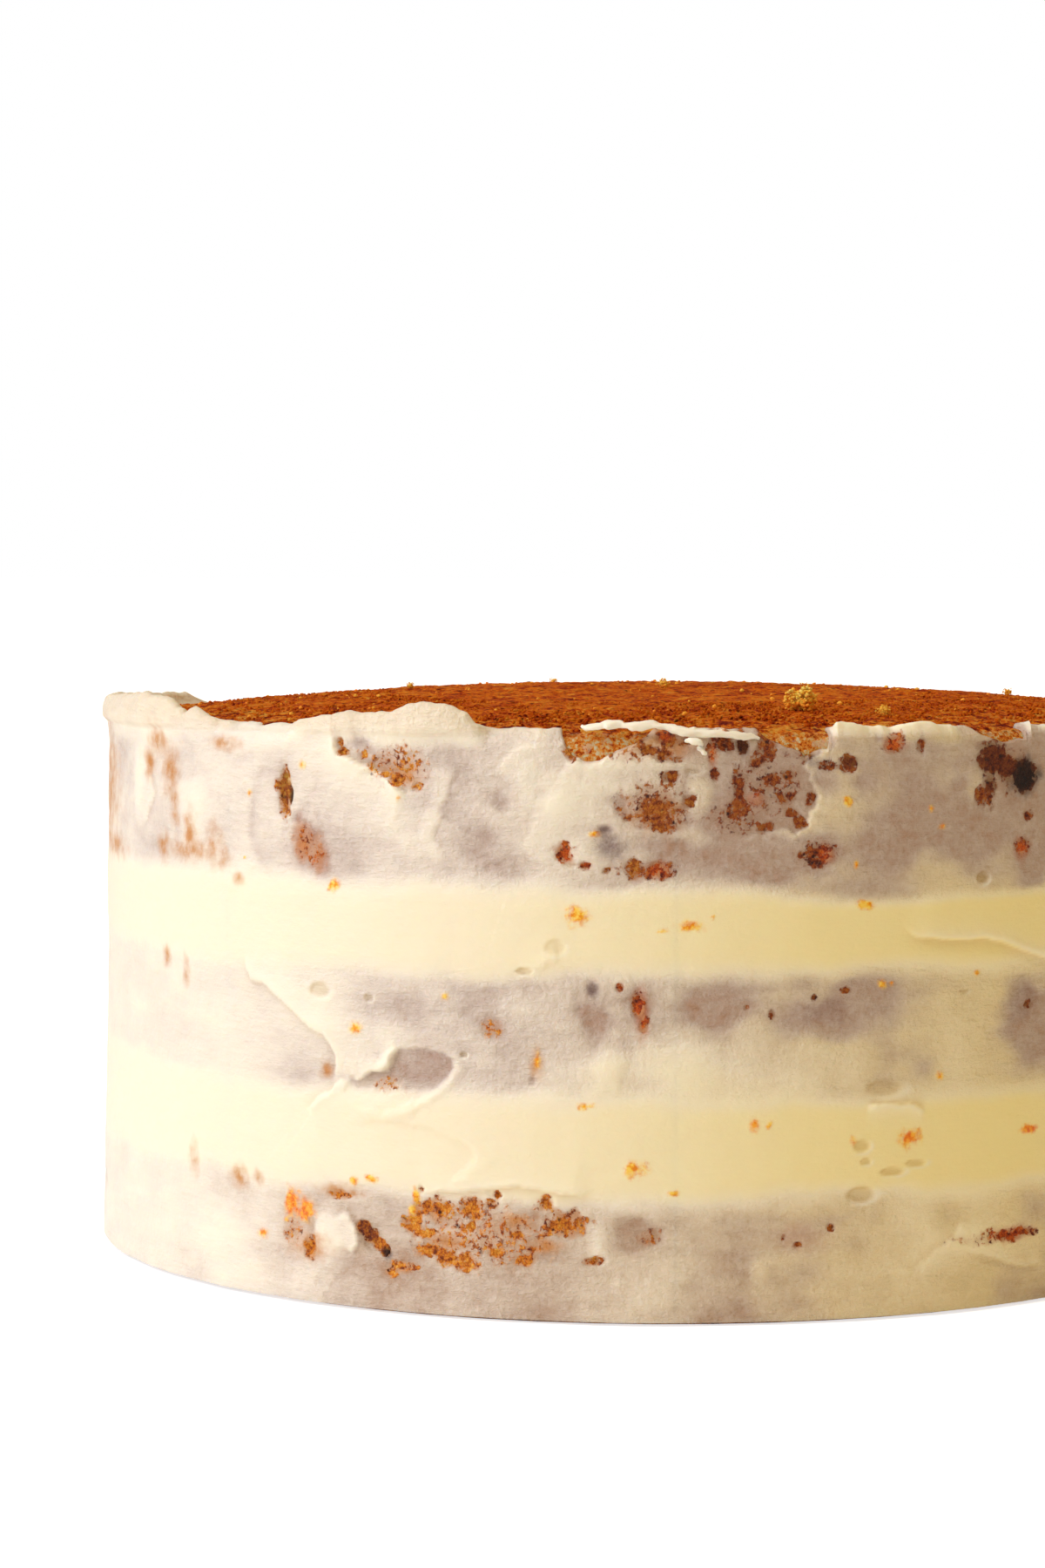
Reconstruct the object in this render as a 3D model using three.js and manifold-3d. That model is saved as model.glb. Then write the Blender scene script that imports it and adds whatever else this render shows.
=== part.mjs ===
// A round three-layer carrot cake: three sponges, two cream-cheese fillings between them, and a thin coat
// of the same frosting scraped round the side, which ends in a ragged lip over the bare domed top.
// Millimetres, +Z up, origin at the centre of the base. An angle is in degrees round the cake from its
// front (-Y), positive towards +X, and a place on the side is [angle, height].

import * as THREE from "three";
import { mergeVertices } from "three/addons/utils/BufferGeometryUtils.js";
import Module from "manifold-3d";

const wasm = await Module();
wasm.setup();

// Driving dimensions of the layers, from an 8-inch (203 mm) tin
const CAKE_RADIUS = 99.6;
const SPONGE_1_TOP = 22;
const FILLING_1_TOP = 36.5;
const SPONGE_2_TOP = 59;
const FILLING_2_TOP = 71;
const RIM_HEIGHT = 95.5; // mean height of the top sponge's edge
const RIM_SLOPE = 2; // the top sponge rose higher at the front than at the back by twice this
const APEX_HEIGHT = 100.6; // middle of the domed top
const DOME_POWER = 2.4; // above 2, so that the middle is flatter than a parabola
const SHOULDER = 3.2; // rounding of the top sponge's edge
const EDGE = 1.2; // rounding of the other layers' edges
const GAP = 0.3; // between neighbouring pieces
const CRUMB_DEPTH = 0.5; // relief of the sponge's torn side

// Driving dimensions of the coat
const COAT_FOOT = 0.8; // clearance of its lower edge from what the cake stands on
const COAT_TOP = 92; // where the side ends and the lip begins
const COAT_OVER_SPONGE = 1.1;
const COAT_OVER_FILLING = 1.6;
const COAT_RIPPLE = 0.25;
const BAND_BLUR = 2.5; // how softly the coat thickens from sponge to filling
const SLUMP = { at: -88, half: 48, top: 52, high: 1.3 }; // thicker low on the left, where it sagged
const LIP_REACH = 2; // how far its inner edge lies on the crust, inside the crest
const LIP_LEAST = 0.8; // its height where it is only a film
const LIP_OVERHANG = 0.22; // how far a fold hangs out over the side, as a share of its height

// Height of the lip's crest over the sponge's edge, from the left round the front
const LIP_CREST = [
  [-119, 0.8], [-115, 2], [-100, 2.5], [-92, 3.8], [-86, 3.6], [-80, 4], [-62, 5.3], [-56.5, 4.4],
  [-54, 1.9], [-52, 3.4], [-49, 1.5], [-44, 0.2], [-38, 0.8], [-33, 2.4], [-28, 2.9], [-25, 3.6],
  [-22, 4.9], [-19.5, 4.4], [-17, 1.4], [-10, 0.8], [-7, 2.2], [-3.3, 2.9], [0, 2.3], [4, 1.1],
  [9, 0.2], [16.5, 0.3], [17.5, 2], [22, 1.1], [26, 1.8], [32, 0.3], [37, 0.2], [38, 1.1], [45, 1.5],
];
// Right of the front it is a row of lower folds, and round the back only a film
const RIGHT_FOLDS = { count: 4, first: 58, step: 17, half: 7, high: 2.6 };

// Strokes of the spatula that stand proud: a path over the side, its width and its height
const RIDGES = [
  { path: [[-40, 93], [-43, 84], [-43, 75], [-41, 70]], wide: 4, high: 0.9 },
  { path: [[-43, 58], [-40.5, 54], [-34, 47.5], [-31.4, 41], [-34.4, 34.5]], wide: 4, high: 0.9 },
  { path: [[-7.8, 91], [-11, 84], [-12.6, 78]], wide: 3.5, high: 0.8 },
  { path: [[-19, 42], [-22, 36.5], [-30, 32.5]], wide: 3.5, high: 0.9 },
  { path: [[-28, 32.5], [-19.8, 31], [-17, 27], [-20, 21.5]], wide: 3.5, high: 0.8 },
  { path: [[25, 64], [32.4, 62.7], [37.5, 60.2], [44, 56.5], [52, 55]], wide: 4.5, high: 1.2 },
  { path: [[25.5, 8], [28.7, 13.7], [30, 18]], wide: 4, high: 0.7 },
];
// The same kind of stroke on the sides away from the front, each turned and raised from the last
const BACK_RIDGES = { count: 12, first: 66, step: 20, low: 14, rise: 31, long: 13, wide: 4.5, high: 0.9 };

// Where the coat is torn or scraped through to the sponge: middle, width and height along the side
const BARE_PATCHES = [
  { at: -4.2, height: 95.4, wide: 12.5, high: 4.4 }, // window under the strip of the lip
  { at: -8.4, height: 97.6, wide: 2.2, high: 7 }, // cleft at the strip's free end
  { at: 14.2, height: 97, wide: 6.5, high: 9 }, // gap in the lip, right of the middle
  { at: 34.8, height: 98, wide: 4.5, high: 6 },
  { at: 0, height: 85.4, wide: 7, high: 4.6 },
  { at: 9.6, height: 85.6, wide: 4.2, high: 6.4 },
  { at: -25.4, height: 89, wide: 5.6, high: 3.4 },
  { at: -54, height: 76.4, wide: 11, high: 3.6 },
  { at: -35.8, height: 78, wide: 4, high: 6.4 },
  { at: -24, height: 17.5, wide: 9, high: 4.2 },
  { at: -9.5, height: 18.6, wide: 9.5, high: 4.6 },
  { at: -18.6, height: 10.6, wide: 15, high: 4.2 },
];
const BACK_PATCHES = { count: 12, first: 50, step: 19.2, wide: 9, high: 5 };

// Loose crumbs on the crust: place and width
const CRUMB_FLATNESS = 0.72; // height as a share of width
const CRUMB_SINK = 0.18; // how much of the width lies in the crust
const CRUMBS = [
  { x: 25.4, y: -61.4, size: 5.4 },
  { x: 39, y: -66.6, size: 2.6 },
  { x: 1.6, y: -5.6, size: 3 },
  { x: -46, y: 11, size: 3.4 },
  { x: 68, y: 34, size: 3 },
  { x: 26.2, y: -28, size: 2.4 },
  { x: -20, y: 52, size: 3 },
  { x: 30, y: 70, size: 3.6 },
];

// Fineness of the facets
const LAYER_SEGMENTS = 64;
const SPONGE_ROWS = 4;
const DOME_RINGS = 6;
const COAT_COLUMNS = 116;
const COAT_ROWS = 15;
const SHOULDER_STEPS = 3;
const PATCH_POINTS = 10;
const PATCH_DEPTH = 14;

const MATERIALS = {
  sponge: new THREE.MeshStandardMaterial({ color: 0xc98a52, roughness: 0.9, metalness: 0 }),
  crust: new THREE.MeshStandardMaterial({ color: 0x9a4f1c, roughness: 0.8, metalness: 0 }),
  filling: new THREE.MeshStandardMaterial({ color: 0xf7ebc8, roughness: 0.45, metalness: 0 }),
  coat: new THREE.MeshStandardMaterial({ color: 0xefe3cf, roughness: 0.45, metalness: 0 }),
};

const radians = THREE.MathUtils.degToRad;
const smooth = THREE.MathUtils.smoothstep;

// Shortest way round from one angle to another, -180 to 180
function turn(from, to) {
  return THREE.MathUtils.euclideanModulo(to - from + 180, 360) - 180;
}

// A point at an angle round the cake, a radius and a height
function place(angle, radius, height) {
  return new THREE.Vector3(
    radius * Math.sin(radians(angle)),
    -radius * Math.cos(radians(angle)),
    height,
  );
}

// Slow uneven swells over the side, from -1 to 1, that close on themselves round the cake
function swell(angle, height) {
  const a = radians(angle);
  return (
    0.4 * Math.sin(5 * a + 0.07 * height + 1.3) +
    0.35 * Math.sin(11 * a - 0.16 * height + 0.4) +
    0.25 * Math.sin(23 * a + 0.31 * height + 2.2)
  );
}

// The crumb's pits, from 0 to 1
function pitted(angle, height) {
  const a = radians(angle);
  const across = Math.sin(31 * a + 1.9 * Math.sin(0.9 * height));
  const up = Math.sin(1.3 * height + 2.3 * Math.sin(17 * a));
  return 0.5 + 0.25 * across + 0.25 * up;
}

// The top sponge: height of its edge at an angle, and of its crust at a radius
function rimHeight(angle) {
  return RIM_HEIGHT + RIM_SLOPE * Math.cos(radians(angle));
}

function crustHeight(angle, radius) {
  const fall = APEX_HEIGHT - rimHeight(angle);
  return APEX_HEIGHT - fall * (radius / CAKE_RADIUS) ** DOME_POWER;
}

// Its rounded edge, from the side (share 0) to the crust (share 1), grown outwards by a clearance
function shoulderPoint(angle, share, clearance) {
  const quarter = (share * Math.PI) / 2;
  const inner = CAKE_RADIUS - SHOULDER;
  const low = rimHeight(angle) - SHOULDER;
  const rise = crustHeight(angle, inner) - low;
  return {
    radius: inner + (SHOULDER + clearance) * Math.cos(quarter),
    height: low + (rise + clearance) * Math.sin(quarter),
  };
}

// Distance in mm along the side from a place to a path of places
function distanceToPath(angle, height, path) {
  const flat = (at, z) => new THREE.Vector2(radians(turn(angle, at)) * CAKE_RADIUS, z - height);
  let least = Infinity;
  for (let i = 1; i < path.length; i += 1) {
    const start = flat(...path[i - 1]);
    const along = flat(...path[i]).sub(start);
    const share = THREE.MathUtils.clamp(-start.dot(along) / along.lengthSq(), 0, 1);
    least = Math.min(least, start.addScaledVector(along, share).length());
  }
  return least;
}

function backRidges() {
  const { count, first, step, low, rise, long, wide, high } = BACK_RIDGES;
  return Array.from({ length: count }, (_, i) => {
    const at = first + i * step;
    const height = low + ((i * rise) % 70);
    const lean = 9 * Math.sin(2.1 * i);
    return { path: [[at, height], [at + 5, height + lean], [at + long, height + lean / 2]], wide, high };
  });
}

const ALL_RIDGES = [...RIDGES, ...backRidges()];

// 1 over a filling, 0 over a sponge
function overFilling(height) {
  const above = (level) => smooth(height, level - BAND_BLUR, level + BAND_BLUR);
  const lower = above(SPONGE_1_TOP) - above(FILLING_1_TOP);
  const upper = above(SPONGE_2_TOP) - above(FILLING_2_TOP);
  return lower + upper;
}

function coatThickness(angle, height) {
  let thickness = THREE.MathUtils.lerp(COAT_OVER_SPONGE, COAT_OVER_FILLING, overFilling(height));
  thickness += COAT_RIPPLE * swell(angle, height);
  const aside = Math.min(1, Math.abs(turn(SLUMP.at, angle)) / SLUMP.half);
  thickness += SLUMP.high * (1 - smooth(aside, 0, 1)) * (1 - smooth(height, 0, SLUMP.top));
  for (const ridge of ALL_RIDGES) {
    const away = distanceToPath(angle, height, ridge.path) / ridge.wide;
    thickness += ridge.high * Math.exp(-3 * away * away);
  }
  return thickness;
}

function coatRadius(angle, height) {
  return CAKE_RADIUS + GAP + coatThickness(angle, height);
}

// Height of the lip over the sponge's edge
function lipHeight(angle) {
  const last = LIP_CREST.length - 1;
  const at = turn(0, angle);
  if (at >= LIP_CREST[0][0] && at <= LIP_CREST[last][0]) {
    const next = Math.max(1, LIP_CREST.findIndex(([corner]) => corner >= at));
    const [from, low] = LIP_CREST[next - 1];
    const [to, high] = LIP_CREST[next];
    return Math.max(LIP_LEAST, THREE.MathUtils.mapLinear(at, from, to, low, high));
  }
  let height = LIP_LEAST;
  for (let i = 0; i < RIGHT_FOLDS.count; i += 1) {
    const middle = RIGHT_FOLDS.first + i * RIGHT_FOLDS.step + 4 * Math.sin(2.7 * i);
    const half = RIGHT_FOLDS.half + 2.4 * Math.sin(1.9 * i);
    const peak = RIGHT_FOLDS.high + 1.1 * Math.sin(2.9 * i + 1);
    const away = Math.min(1, Math.abs(turn(middle, at)) / half);
    height = Math.max(height, peak * (1 - away ** 3));
  }
  return height;
}

// The coat's cross-section at an angle, a closed loop: up the outside, over the lip and down the inside
function coatSection(angle) {
  const loop = [];
  for (let row = 0; row < COAT_ROWS; row += 1) {
    const height = COAT_FOOT + ((COAT_TOP - COAT_FOOT) * row) / (COAT_ROWS - 1);
    loop.push([coatRadius(angle, height), height]);
  }
  const rim = rimHeight(angle);
  const high = lipHeight(angle);
  const thick = 1 + 0.5 * high;
  const out = coatRadius(angle, COAT_TOP) + LIP_OVERHANG * high;
  const foot = Math.min(out - thick - LIP_REACH, CAKE_RADIUS - SHOULDER - 0.5);
  loop.push([out - 0.2, rim - 0.6]);
  loop.push([out, rim + 0.45 * high]);
  loop.push([out - 0.45 * thick, rim + high]);
  loop.push([out - thick, rim + 0.75 * high]);
  loop.push([foot, crustHeight(angle, foot) + GAP + 0.2]);
  for (let step = SHOULDER_STEPS; step >= 0; step -= 1) {
    const { radius, height } = shoulderPoint(angle, step / SHOULDER_STEPS, GAP);
    loop.push([radius, height]);
  }
  loop.push([CAKE_RADIUS + GAP, COAT_FOOT]);
  return loop;
}

// A ring whose cross-section changes with the angle
function ringGeometry(columns, sectionAt) {
  const positions = [];
  const faces = [];
  const count = sectionAt(0).length;
  for (let column = 0; column < columns; column += 1) {
    const angle = (column * 360) / columns;
    for (const [radius, height] of sectionAt(angle)) {
      positions.push(...place(angle, radius, height).toArray());
    }
    for (let i = 0; i < count; i += 1) {
      const here = column * count;
      const beside = ((column + 1) % columns) * count;
      const next = (i + 1) % count;
      faces.push(here + i, beside + i, beside + next);
      faces.push(here + i, beside + next, here + next);
    }
  }
  const geometry = new THREE.BufferGeometry();
  geometry.setAttribute("position", new THREE.Float32BufferAttribute(positions, 3));
  geometry.setIndex(faces);
  return geometry;
}

// A disc turned from a profile of [radius, height] points, standing on the origin's axis
function turnedGeometry(profile) {
  const points = profile.map(([radius, height]) => new THREE.Vector2(radius, height));
  return new THREE.LatheGeometry(points, LAYER_SEGMENTS).rotateX(Math.PI / 2);
}

// Moves each point of a disc: change takes its angle, radius and height and gives the new radius and height
function reshape(geometry, change) {
  const points = geometry.getAttribute("position");
  for (let i = 0; i < points.count; i += 1) {
    const radius = Math.hypot(points.getX(i), points.getY(i));
    if (radius < 1e-3) continue;
    const angle = THREE.MathUtils.radToDeg(Math.atan2(points.getX(i), -points.getY(i)));
    const made = change(angle, radius, points.getZ(i));
    points.setXYZ(i, ...place(angle, made.radius, made.height).toArray());
  }
  return geometry;
}

// A flat layer with rounded edges and a number of rows up its side
function layerGeometry(bottom, top, rows) {
  const profile = [[0, bottom], [CAKE_RADIUS - EDGE, bottom]];
  for (let row = 0; row <= rows; row += 1) {
    profile.push([CAKE_RADIUS, bottom + EDGE + ((top - bottom - 2 * EDGE) * row) / rows]);
  }
  profile.push([CAKE_RADIUS - EDGE, top], [0, top]);
  return turnedGeometry(profile);
}

// A sponge's side is torn crumb, a little inside its true radius
function spongeGeometry(bottom, top) {
  return reshape(layerGeometry(bottom, top, SPONGE_ROWS), (angle, radius, height) => {
    const pit = radius > CAKE_RADIUS - EDGE / 2 ? CRUMB_DEPTH * pitted(angle, height) : 0;
    return { radius: radius - pit, height };
  });
}

// The top sponge: a torn side, a rounded edge and a domed crust
function topSpongeGeometry() {
  const profile = [[0, FILLING_2_TOP], [CAKE_RADIUS - EDGE, FILLING_2_TOP]];
  for (let row = 0; row < SPONGE_ROWS; row += 1) {
    const low = FILLING_2_TOP + EDGE;
    profile.push([CAKE_RADIUS, low + ((RIM_HEIGHT - SHOULDER - low) * row) / SPONGE_ROWS]);
  }
  for (let step = 0; step <= SHOULDER_STEPS; step += 1) {
    const { radius, height } = shoulderPoint(90, step / SHOULDER_STEPS, 0);
    profile.push([radius, height]);
  }
  for (let ring = DOME_RINGS - 1; ring >= 0; ring -= 1) {
    const radius = ((CAKE_RADIUS - SHOULDER) * ring) / DOME_RINGS;
    profile.push([radius, crustHeight(90, radius)]);
  }
  return reshape(turnedGeometry(profile), (angle, radius, height) => {
    const onSide = radius > CAKE_RADIUS - EDGE / 2 && height < RIM_HEIGHT - SHOULDER;
    const pit = onSide ? CRUMB_DEPTH * pitted(angle, height) : 0;
    const lift = (rimHeight(angle) - RIM_HEIGHT) * (radius / CAKE_RADIUS) ** DOME_POWER;
    return { radius: radius - pit, height: height > FILLING_2_TOP + EDGE ? height + lift : height };
  });
}

// An uneven lump
function crumbGeometry({ x, y, size }) {
  const lump = new THREE.IcosahedronGeometry(size / 2, size > 3 ? 1 : 0);
  const points = lump.getAttribute("position");
  for (let i = 0; i < points.count; i += 1) {
    const corner = new THREE.Vector3().fromBufferAttribute(points, i);
    corner.multiplyScalar(1 + 0.22 * Math.sin(5.1 * corner.x + 3.7 * corner.y + 4.3 * corner.z + x));
    points.setXYZ(i, ...corner.toArray());
  }
  const angle = THREE.MathUtils.radToDeg(Math.atan2(x, -y));
  const middle = crustHeight(angle, Math.hypot(x, y)) + (CRUMB_FLATNESS / 2 - CRUMB_SINK) * size;
  return lump.scale(1, 1, CRUMB_FLATNESS).translate(x, y, middle);
}

// A prism with a ragged outline that passes through the coat from outside to the sponge
function patchGeometry({ at, height, wide, high }) {
  const outline = new THREE.Shape();
  for (let i = 0; i < PATCH_POINTS; i += 1) {
    const round = (i * 2 * Math.PI) / PATCH_POINTS;
    const ragged = 1 + 0.2 * Math.sin(3 * round + at) + 0.12 * Math.sin(5 * round + height);
    const across = (wide / 2) * ragged * Math.cos(round);
    const up = (high / 2) * ragged * Math.sin(round);
    if (i === 0) outline.moveTo(across, up);
    else outline.lineTo(across, up);
  }
  const prism = new THREE.ExtrudeGeometry(outline, { depth: PATCH_DEPTH, bevelEnabled: false });
  prism.rotateX(Math.PI / 2); // outline's height to +Z, its depth to -Y
  prism.translate(0, -(CAKE_RADIUS - SHOULDER), height);
  return prism.rotateZ(radians(at));
}

function backPatches() {
  const { count, first, step, wide, high } = BACK_PATCHES;
  const sponges = [SPONGE_1_TOP / 2, (FILLING_1_TOP + SPONGE_2_TOP) / 2, (FILLING_2_TOP + RIM_HEIGHT) / 2];
  return Array.from({ length: count }, (_, i) => ({
    at: first + i * step + 3 * Math.sin(1.3 * i),
    height: sponges[(i * 2) % 3] + 4 * Math.sin(2.3 * i),
    wide: wide + 3 * Math.sin(1.7 * i),
    high: high + 1.2 * Math.sin(2.9 * i),
  }));
}

function solidFrom(geometry) {
  const bare = new THREE.BufferGeometry();
  const source = geometry.index ? geometry.toNonIndexed() : geometry;
  bare.setAttribute("position", source.getAttribute("position"));
  const merged = mergeVertices(bare, 1e-4);
  const mesh = new wasm.Mesh({
    numProp: 3,
    vertProperties: merged.getAttribute("position").array,
    triVerts: new Uint32Array(merged.index.array),
  });
  return new wasm.Manifold(mesh);
}

function geometryFrom(solid) {
  const { vertProperties, triVerts } = solid.getMesh();
  const geometry = new THREE.BufferGeometry();
  geometry.setAttribute("position", new THREE.BufferAttribute(vertProperties, 3));
  geometry.setIndex(new THREE.BufferAttribute(triVerts, 1));
  return geometry;
}

function addPiece(name, geometry, material) {
  const piece = new THREE.Mesh(geometry, material);
  piece.name = name;
  group.add(piece);
}

function coatWithPatches() {
  let coat = solidFrom(ringGeometry(COAT_COLUMNS, coatSection));
  for (const patch of [...BARE_PATCHES, ...backPatches()]) {
    coat = coat.subtract(solidFrom(patchGeometry(patch)));
  }
  return geometryFrom(coat);
}

function topWithCrumbs() {
  let top = solidFrom(topSpongeGeometry());
  for (const crumb of CRUMBS) {
    top = top.add(solidFrom(crumbGeometry(crumb)));
  }
  return geometryFrom(top);
}

const group = new THREE.Group();
addPiece("sponge_bottom", spongeGeometry(0, SPONGE_1_TOP - GAP), MATERIALS.sponge);
addPiece("filling_lower", layerGeometry(SPONGE_1_TOP, FILLING_1_TOP - GAP, 1), MATERIALS.filling);
addPiece("sponge_middle", spongeGeometry(FILLING_1_TOP, SPONGE_2_TOP - GAP), MATERIALS.sponge);
addPiece("filling_upper", layerGeometry(SPONGE_2_TOP, FILLING_2_TOP - GAP, 1), MATERIALS.filling);
addPiece("sponge_top", topWithCrumbs(), MATERIALS.crust);
addPiece("coat", coatWithPatches(), MATERIALS.coat);

export default group;
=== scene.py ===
"""A round three-layer carrot cake under a thin, scraped coat of cream-cheese frosting.

Lengths are in millimetres until a mesh, light or camera is made. An angle is in degrees round the cake
from its front (-Y), positive towards +X, and a place on the side is (angle, height).
"""

import itertools

import bmesh
import bpy
import numpy as np
from mathutils import Euler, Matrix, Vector


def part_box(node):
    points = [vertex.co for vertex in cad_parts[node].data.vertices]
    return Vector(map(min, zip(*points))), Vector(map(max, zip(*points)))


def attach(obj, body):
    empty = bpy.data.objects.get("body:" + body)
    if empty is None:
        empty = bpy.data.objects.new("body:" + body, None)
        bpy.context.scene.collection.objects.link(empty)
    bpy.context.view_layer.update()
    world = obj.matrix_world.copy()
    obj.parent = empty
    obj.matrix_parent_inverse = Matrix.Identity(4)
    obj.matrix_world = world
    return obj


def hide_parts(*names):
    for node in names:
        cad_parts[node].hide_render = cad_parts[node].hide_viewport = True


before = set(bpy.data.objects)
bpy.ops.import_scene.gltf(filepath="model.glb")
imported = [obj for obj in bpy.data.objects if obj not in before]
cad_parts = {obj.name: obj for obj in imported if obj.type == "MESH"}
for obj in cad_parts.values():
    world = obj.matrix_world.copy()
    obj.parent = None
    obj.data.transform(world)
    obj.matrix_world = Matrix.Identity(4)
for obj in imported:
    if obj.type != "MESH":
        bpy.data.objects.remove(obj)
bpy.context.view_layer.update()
MM = 0.001


def levels(node):
    """Lowest and highest point of a CAD node."""
    low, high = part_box(node)
    return low.z / MM, high.z / MM


# The layers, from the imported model
CAKE_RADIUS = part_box("filling_lower")[1].x / MM
FILLINGS = [levels("filling_lower"), levels("filling_upper")]

# The top sponge's dome, as in the model
RIM_HEIGHT = 95.5
RIM_SLOPE = 2
APEX_HEIGHT = 100.6
DOME_POWER = 2.4
SHOULDER = 3.2

# The crumb and the coat over it
CRUMB_CLEAR = 0.7  # the visible crumb's mean height over the solids
COAT_FOOT = 0.6  # height of the coat's lower edge
COAT_OVER_SPONGE = {  # by height, then by angle
    12: [
        (-90, 1.5), (-60, 1.4), (-42, 1.15), (-33, 0.7), (-26, 0.55), (-10, 0.6), (-3, 0.85), (8, 0.6),
        (16, 0.65), (24, 0.95), (33, 0.9), (41, 0.6), (90, 0.8), (140, 0.55), (190, 0.75), (230, 0.7),
        (250, 1.2),
    ],
    48: [
        (-90, 1.6), (-60, 1.5), (-42, 1.4), (-30, 1), (-20, 0.95), (-10, 0.7), (0, 0.55), (10, 0.66),
        (20, 0.6), (31, 0.8), (41, 0.45), (80, 0.6), (130, 0.85), (180, 0.55), (230, 0.8), (250, 1.4),
    ],
    84: [
        (-90, 1.15), (-60, 1), (-46, 0.95), (-36, 0.75), (-26, 0.8), (-15, 0.9), (-9, 1), (0, 0.65),
        (9, 0.4), (18, 0.48), (28, 0.46), (40, 0.36), (80, 0.75), (130, 0.5), (180, 0.8), (230, 0.6),
        (250, 1),
    ],
}
COAT_OVER_FILLING = 1.6
# How yellow the fillings' cream is, by angle: whiter on the lit left and yellower on the shaded right, which
# is painted light
BUTTER_WITH_PAINTED_LIGHT = [(-90, 0.1), (-40, 0.15), (-18, 0.24), (0, 0.54), (15, 0.84), (35, 0.98), (120, 0.8), (220, 0.5)]
COAT_PROUD = 0.6  # share of the cream's depth that stands over the crumb, which it also soaks into
FILLING_CREAM = 2.4  # depth that the cream over a filling looks like
LIP_CREAM = 2
LIP_BUTTER = 0.22
LIP_THICK = 0.9  # at the sponge's edge
LIP_WIDENS = 0.72  # how much thicker the lip gets for each mm that it stands up
LIP_OVERHANG = 0.42  # how far it leans out for each mm over LEANS_FROM
LEANS_FROM = 1.2
LIP_START = 0.9  # how far below the rim the lip's rows start
TORN_START = 0.5  # how far below the torn edge they start where there's no lip
LIP_ROOT = 0.8  # how much thicker the cream gets just under the lip
BAND_BLUR = 3.6  # how far a band's border fades into the sponge's side
BAND_DIP = 3.4  # how much lower the upper band's top edge lies to the right of the front
SHADE_DEPTH = 0.42  # how much cream a soft shadow takes away
SHARE_PITTED = 0.32  # how bare a pitted place is: 1 is wholly bare
SHARE_SOLID = 1.8  # the same for nuts, so that no cream shows on them
LEAST_CREAM = 0.25  # depth of the thinnest cream that isn't scraped off
VEIL_CREAM = 0.2  # depth that veiled places come near
SLUMP = {"at": -88, "half": 48, "top": 52, "high": 1.2}  # the coat's bulge low down on the left

# Height of the lip's crest over the sponge's edge, by angle
LIP_CREST = [
    (-122, -0.6), (-118, 0.8), (-114, 3), (-106, 3.2), (-100, 3.4), (-92, 3.9), (-86, 3.6), (-80, 4),
    (-70, 4.6), (-62, 5.3), (-56.6, 4.4), (-53.7, 1.9), (-51.9, 3.4), (-49.6, 1.8), (-46, 0.6), (-43, -0.2),
    (-41, 0.1), (-38, 0.8), (-35.4, 1.9), (-33.3, 2.4), (-30.6, 3.3), (-28.2, 2.9), (-25.3, 3.4),
    (-23.5, 4.7), (-22.2, 4.95), (-19.5, 4.4), (-17.9, 3.2), (-17, 1.5), (-15.8, 0.8), (-12.8, 0.55),
    (-10.9, 0.85), (-9.2, 0.3), (-8.8, -0.4), (-8.3, -2.2), (-7.7, -3.7), (-6.7, -4.5), (-5.1, -4.3),
    (-3.7, -2.9), (-2.1, -1.8), (-1.2, -0.7), (0.2, 0.2), (2, 0.7), (3.7, 1.1), (5.3, 0.4), (6.5, 0.9),
    (8, 0.2), (9.4, 0.15), (10.6, -0.8), (11.7, -1.7), (12.5, -2.3), (13.8, -3.1), (14.1, -4), (14.9, -3.2),
    (15.5, -2.8), (16.4, -2.6), (16.9, 0.4), (17.2, 1.9), (18.6, 1.7), (20.7, 1.2), (23, 1.1), (26, 1.8),
    (28, 1.35), (30, 0.9), (32, 0.1), (33.8, -1.1), (35.3, -1.9), (38.4, -1.5), (38.9, 1.2), (39.6, 0.4),
    (41, 0.65), (45, 1.5), (51, 0.2),
]
# The lip's folds to the right of those
RIGHT_FOLDS = {"count": 4, "first": 58, "step": 17, "half": 7, "high": 2.6}
BACK_FILM = 0.2  # the crest's mean height between and past the folds

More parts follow.
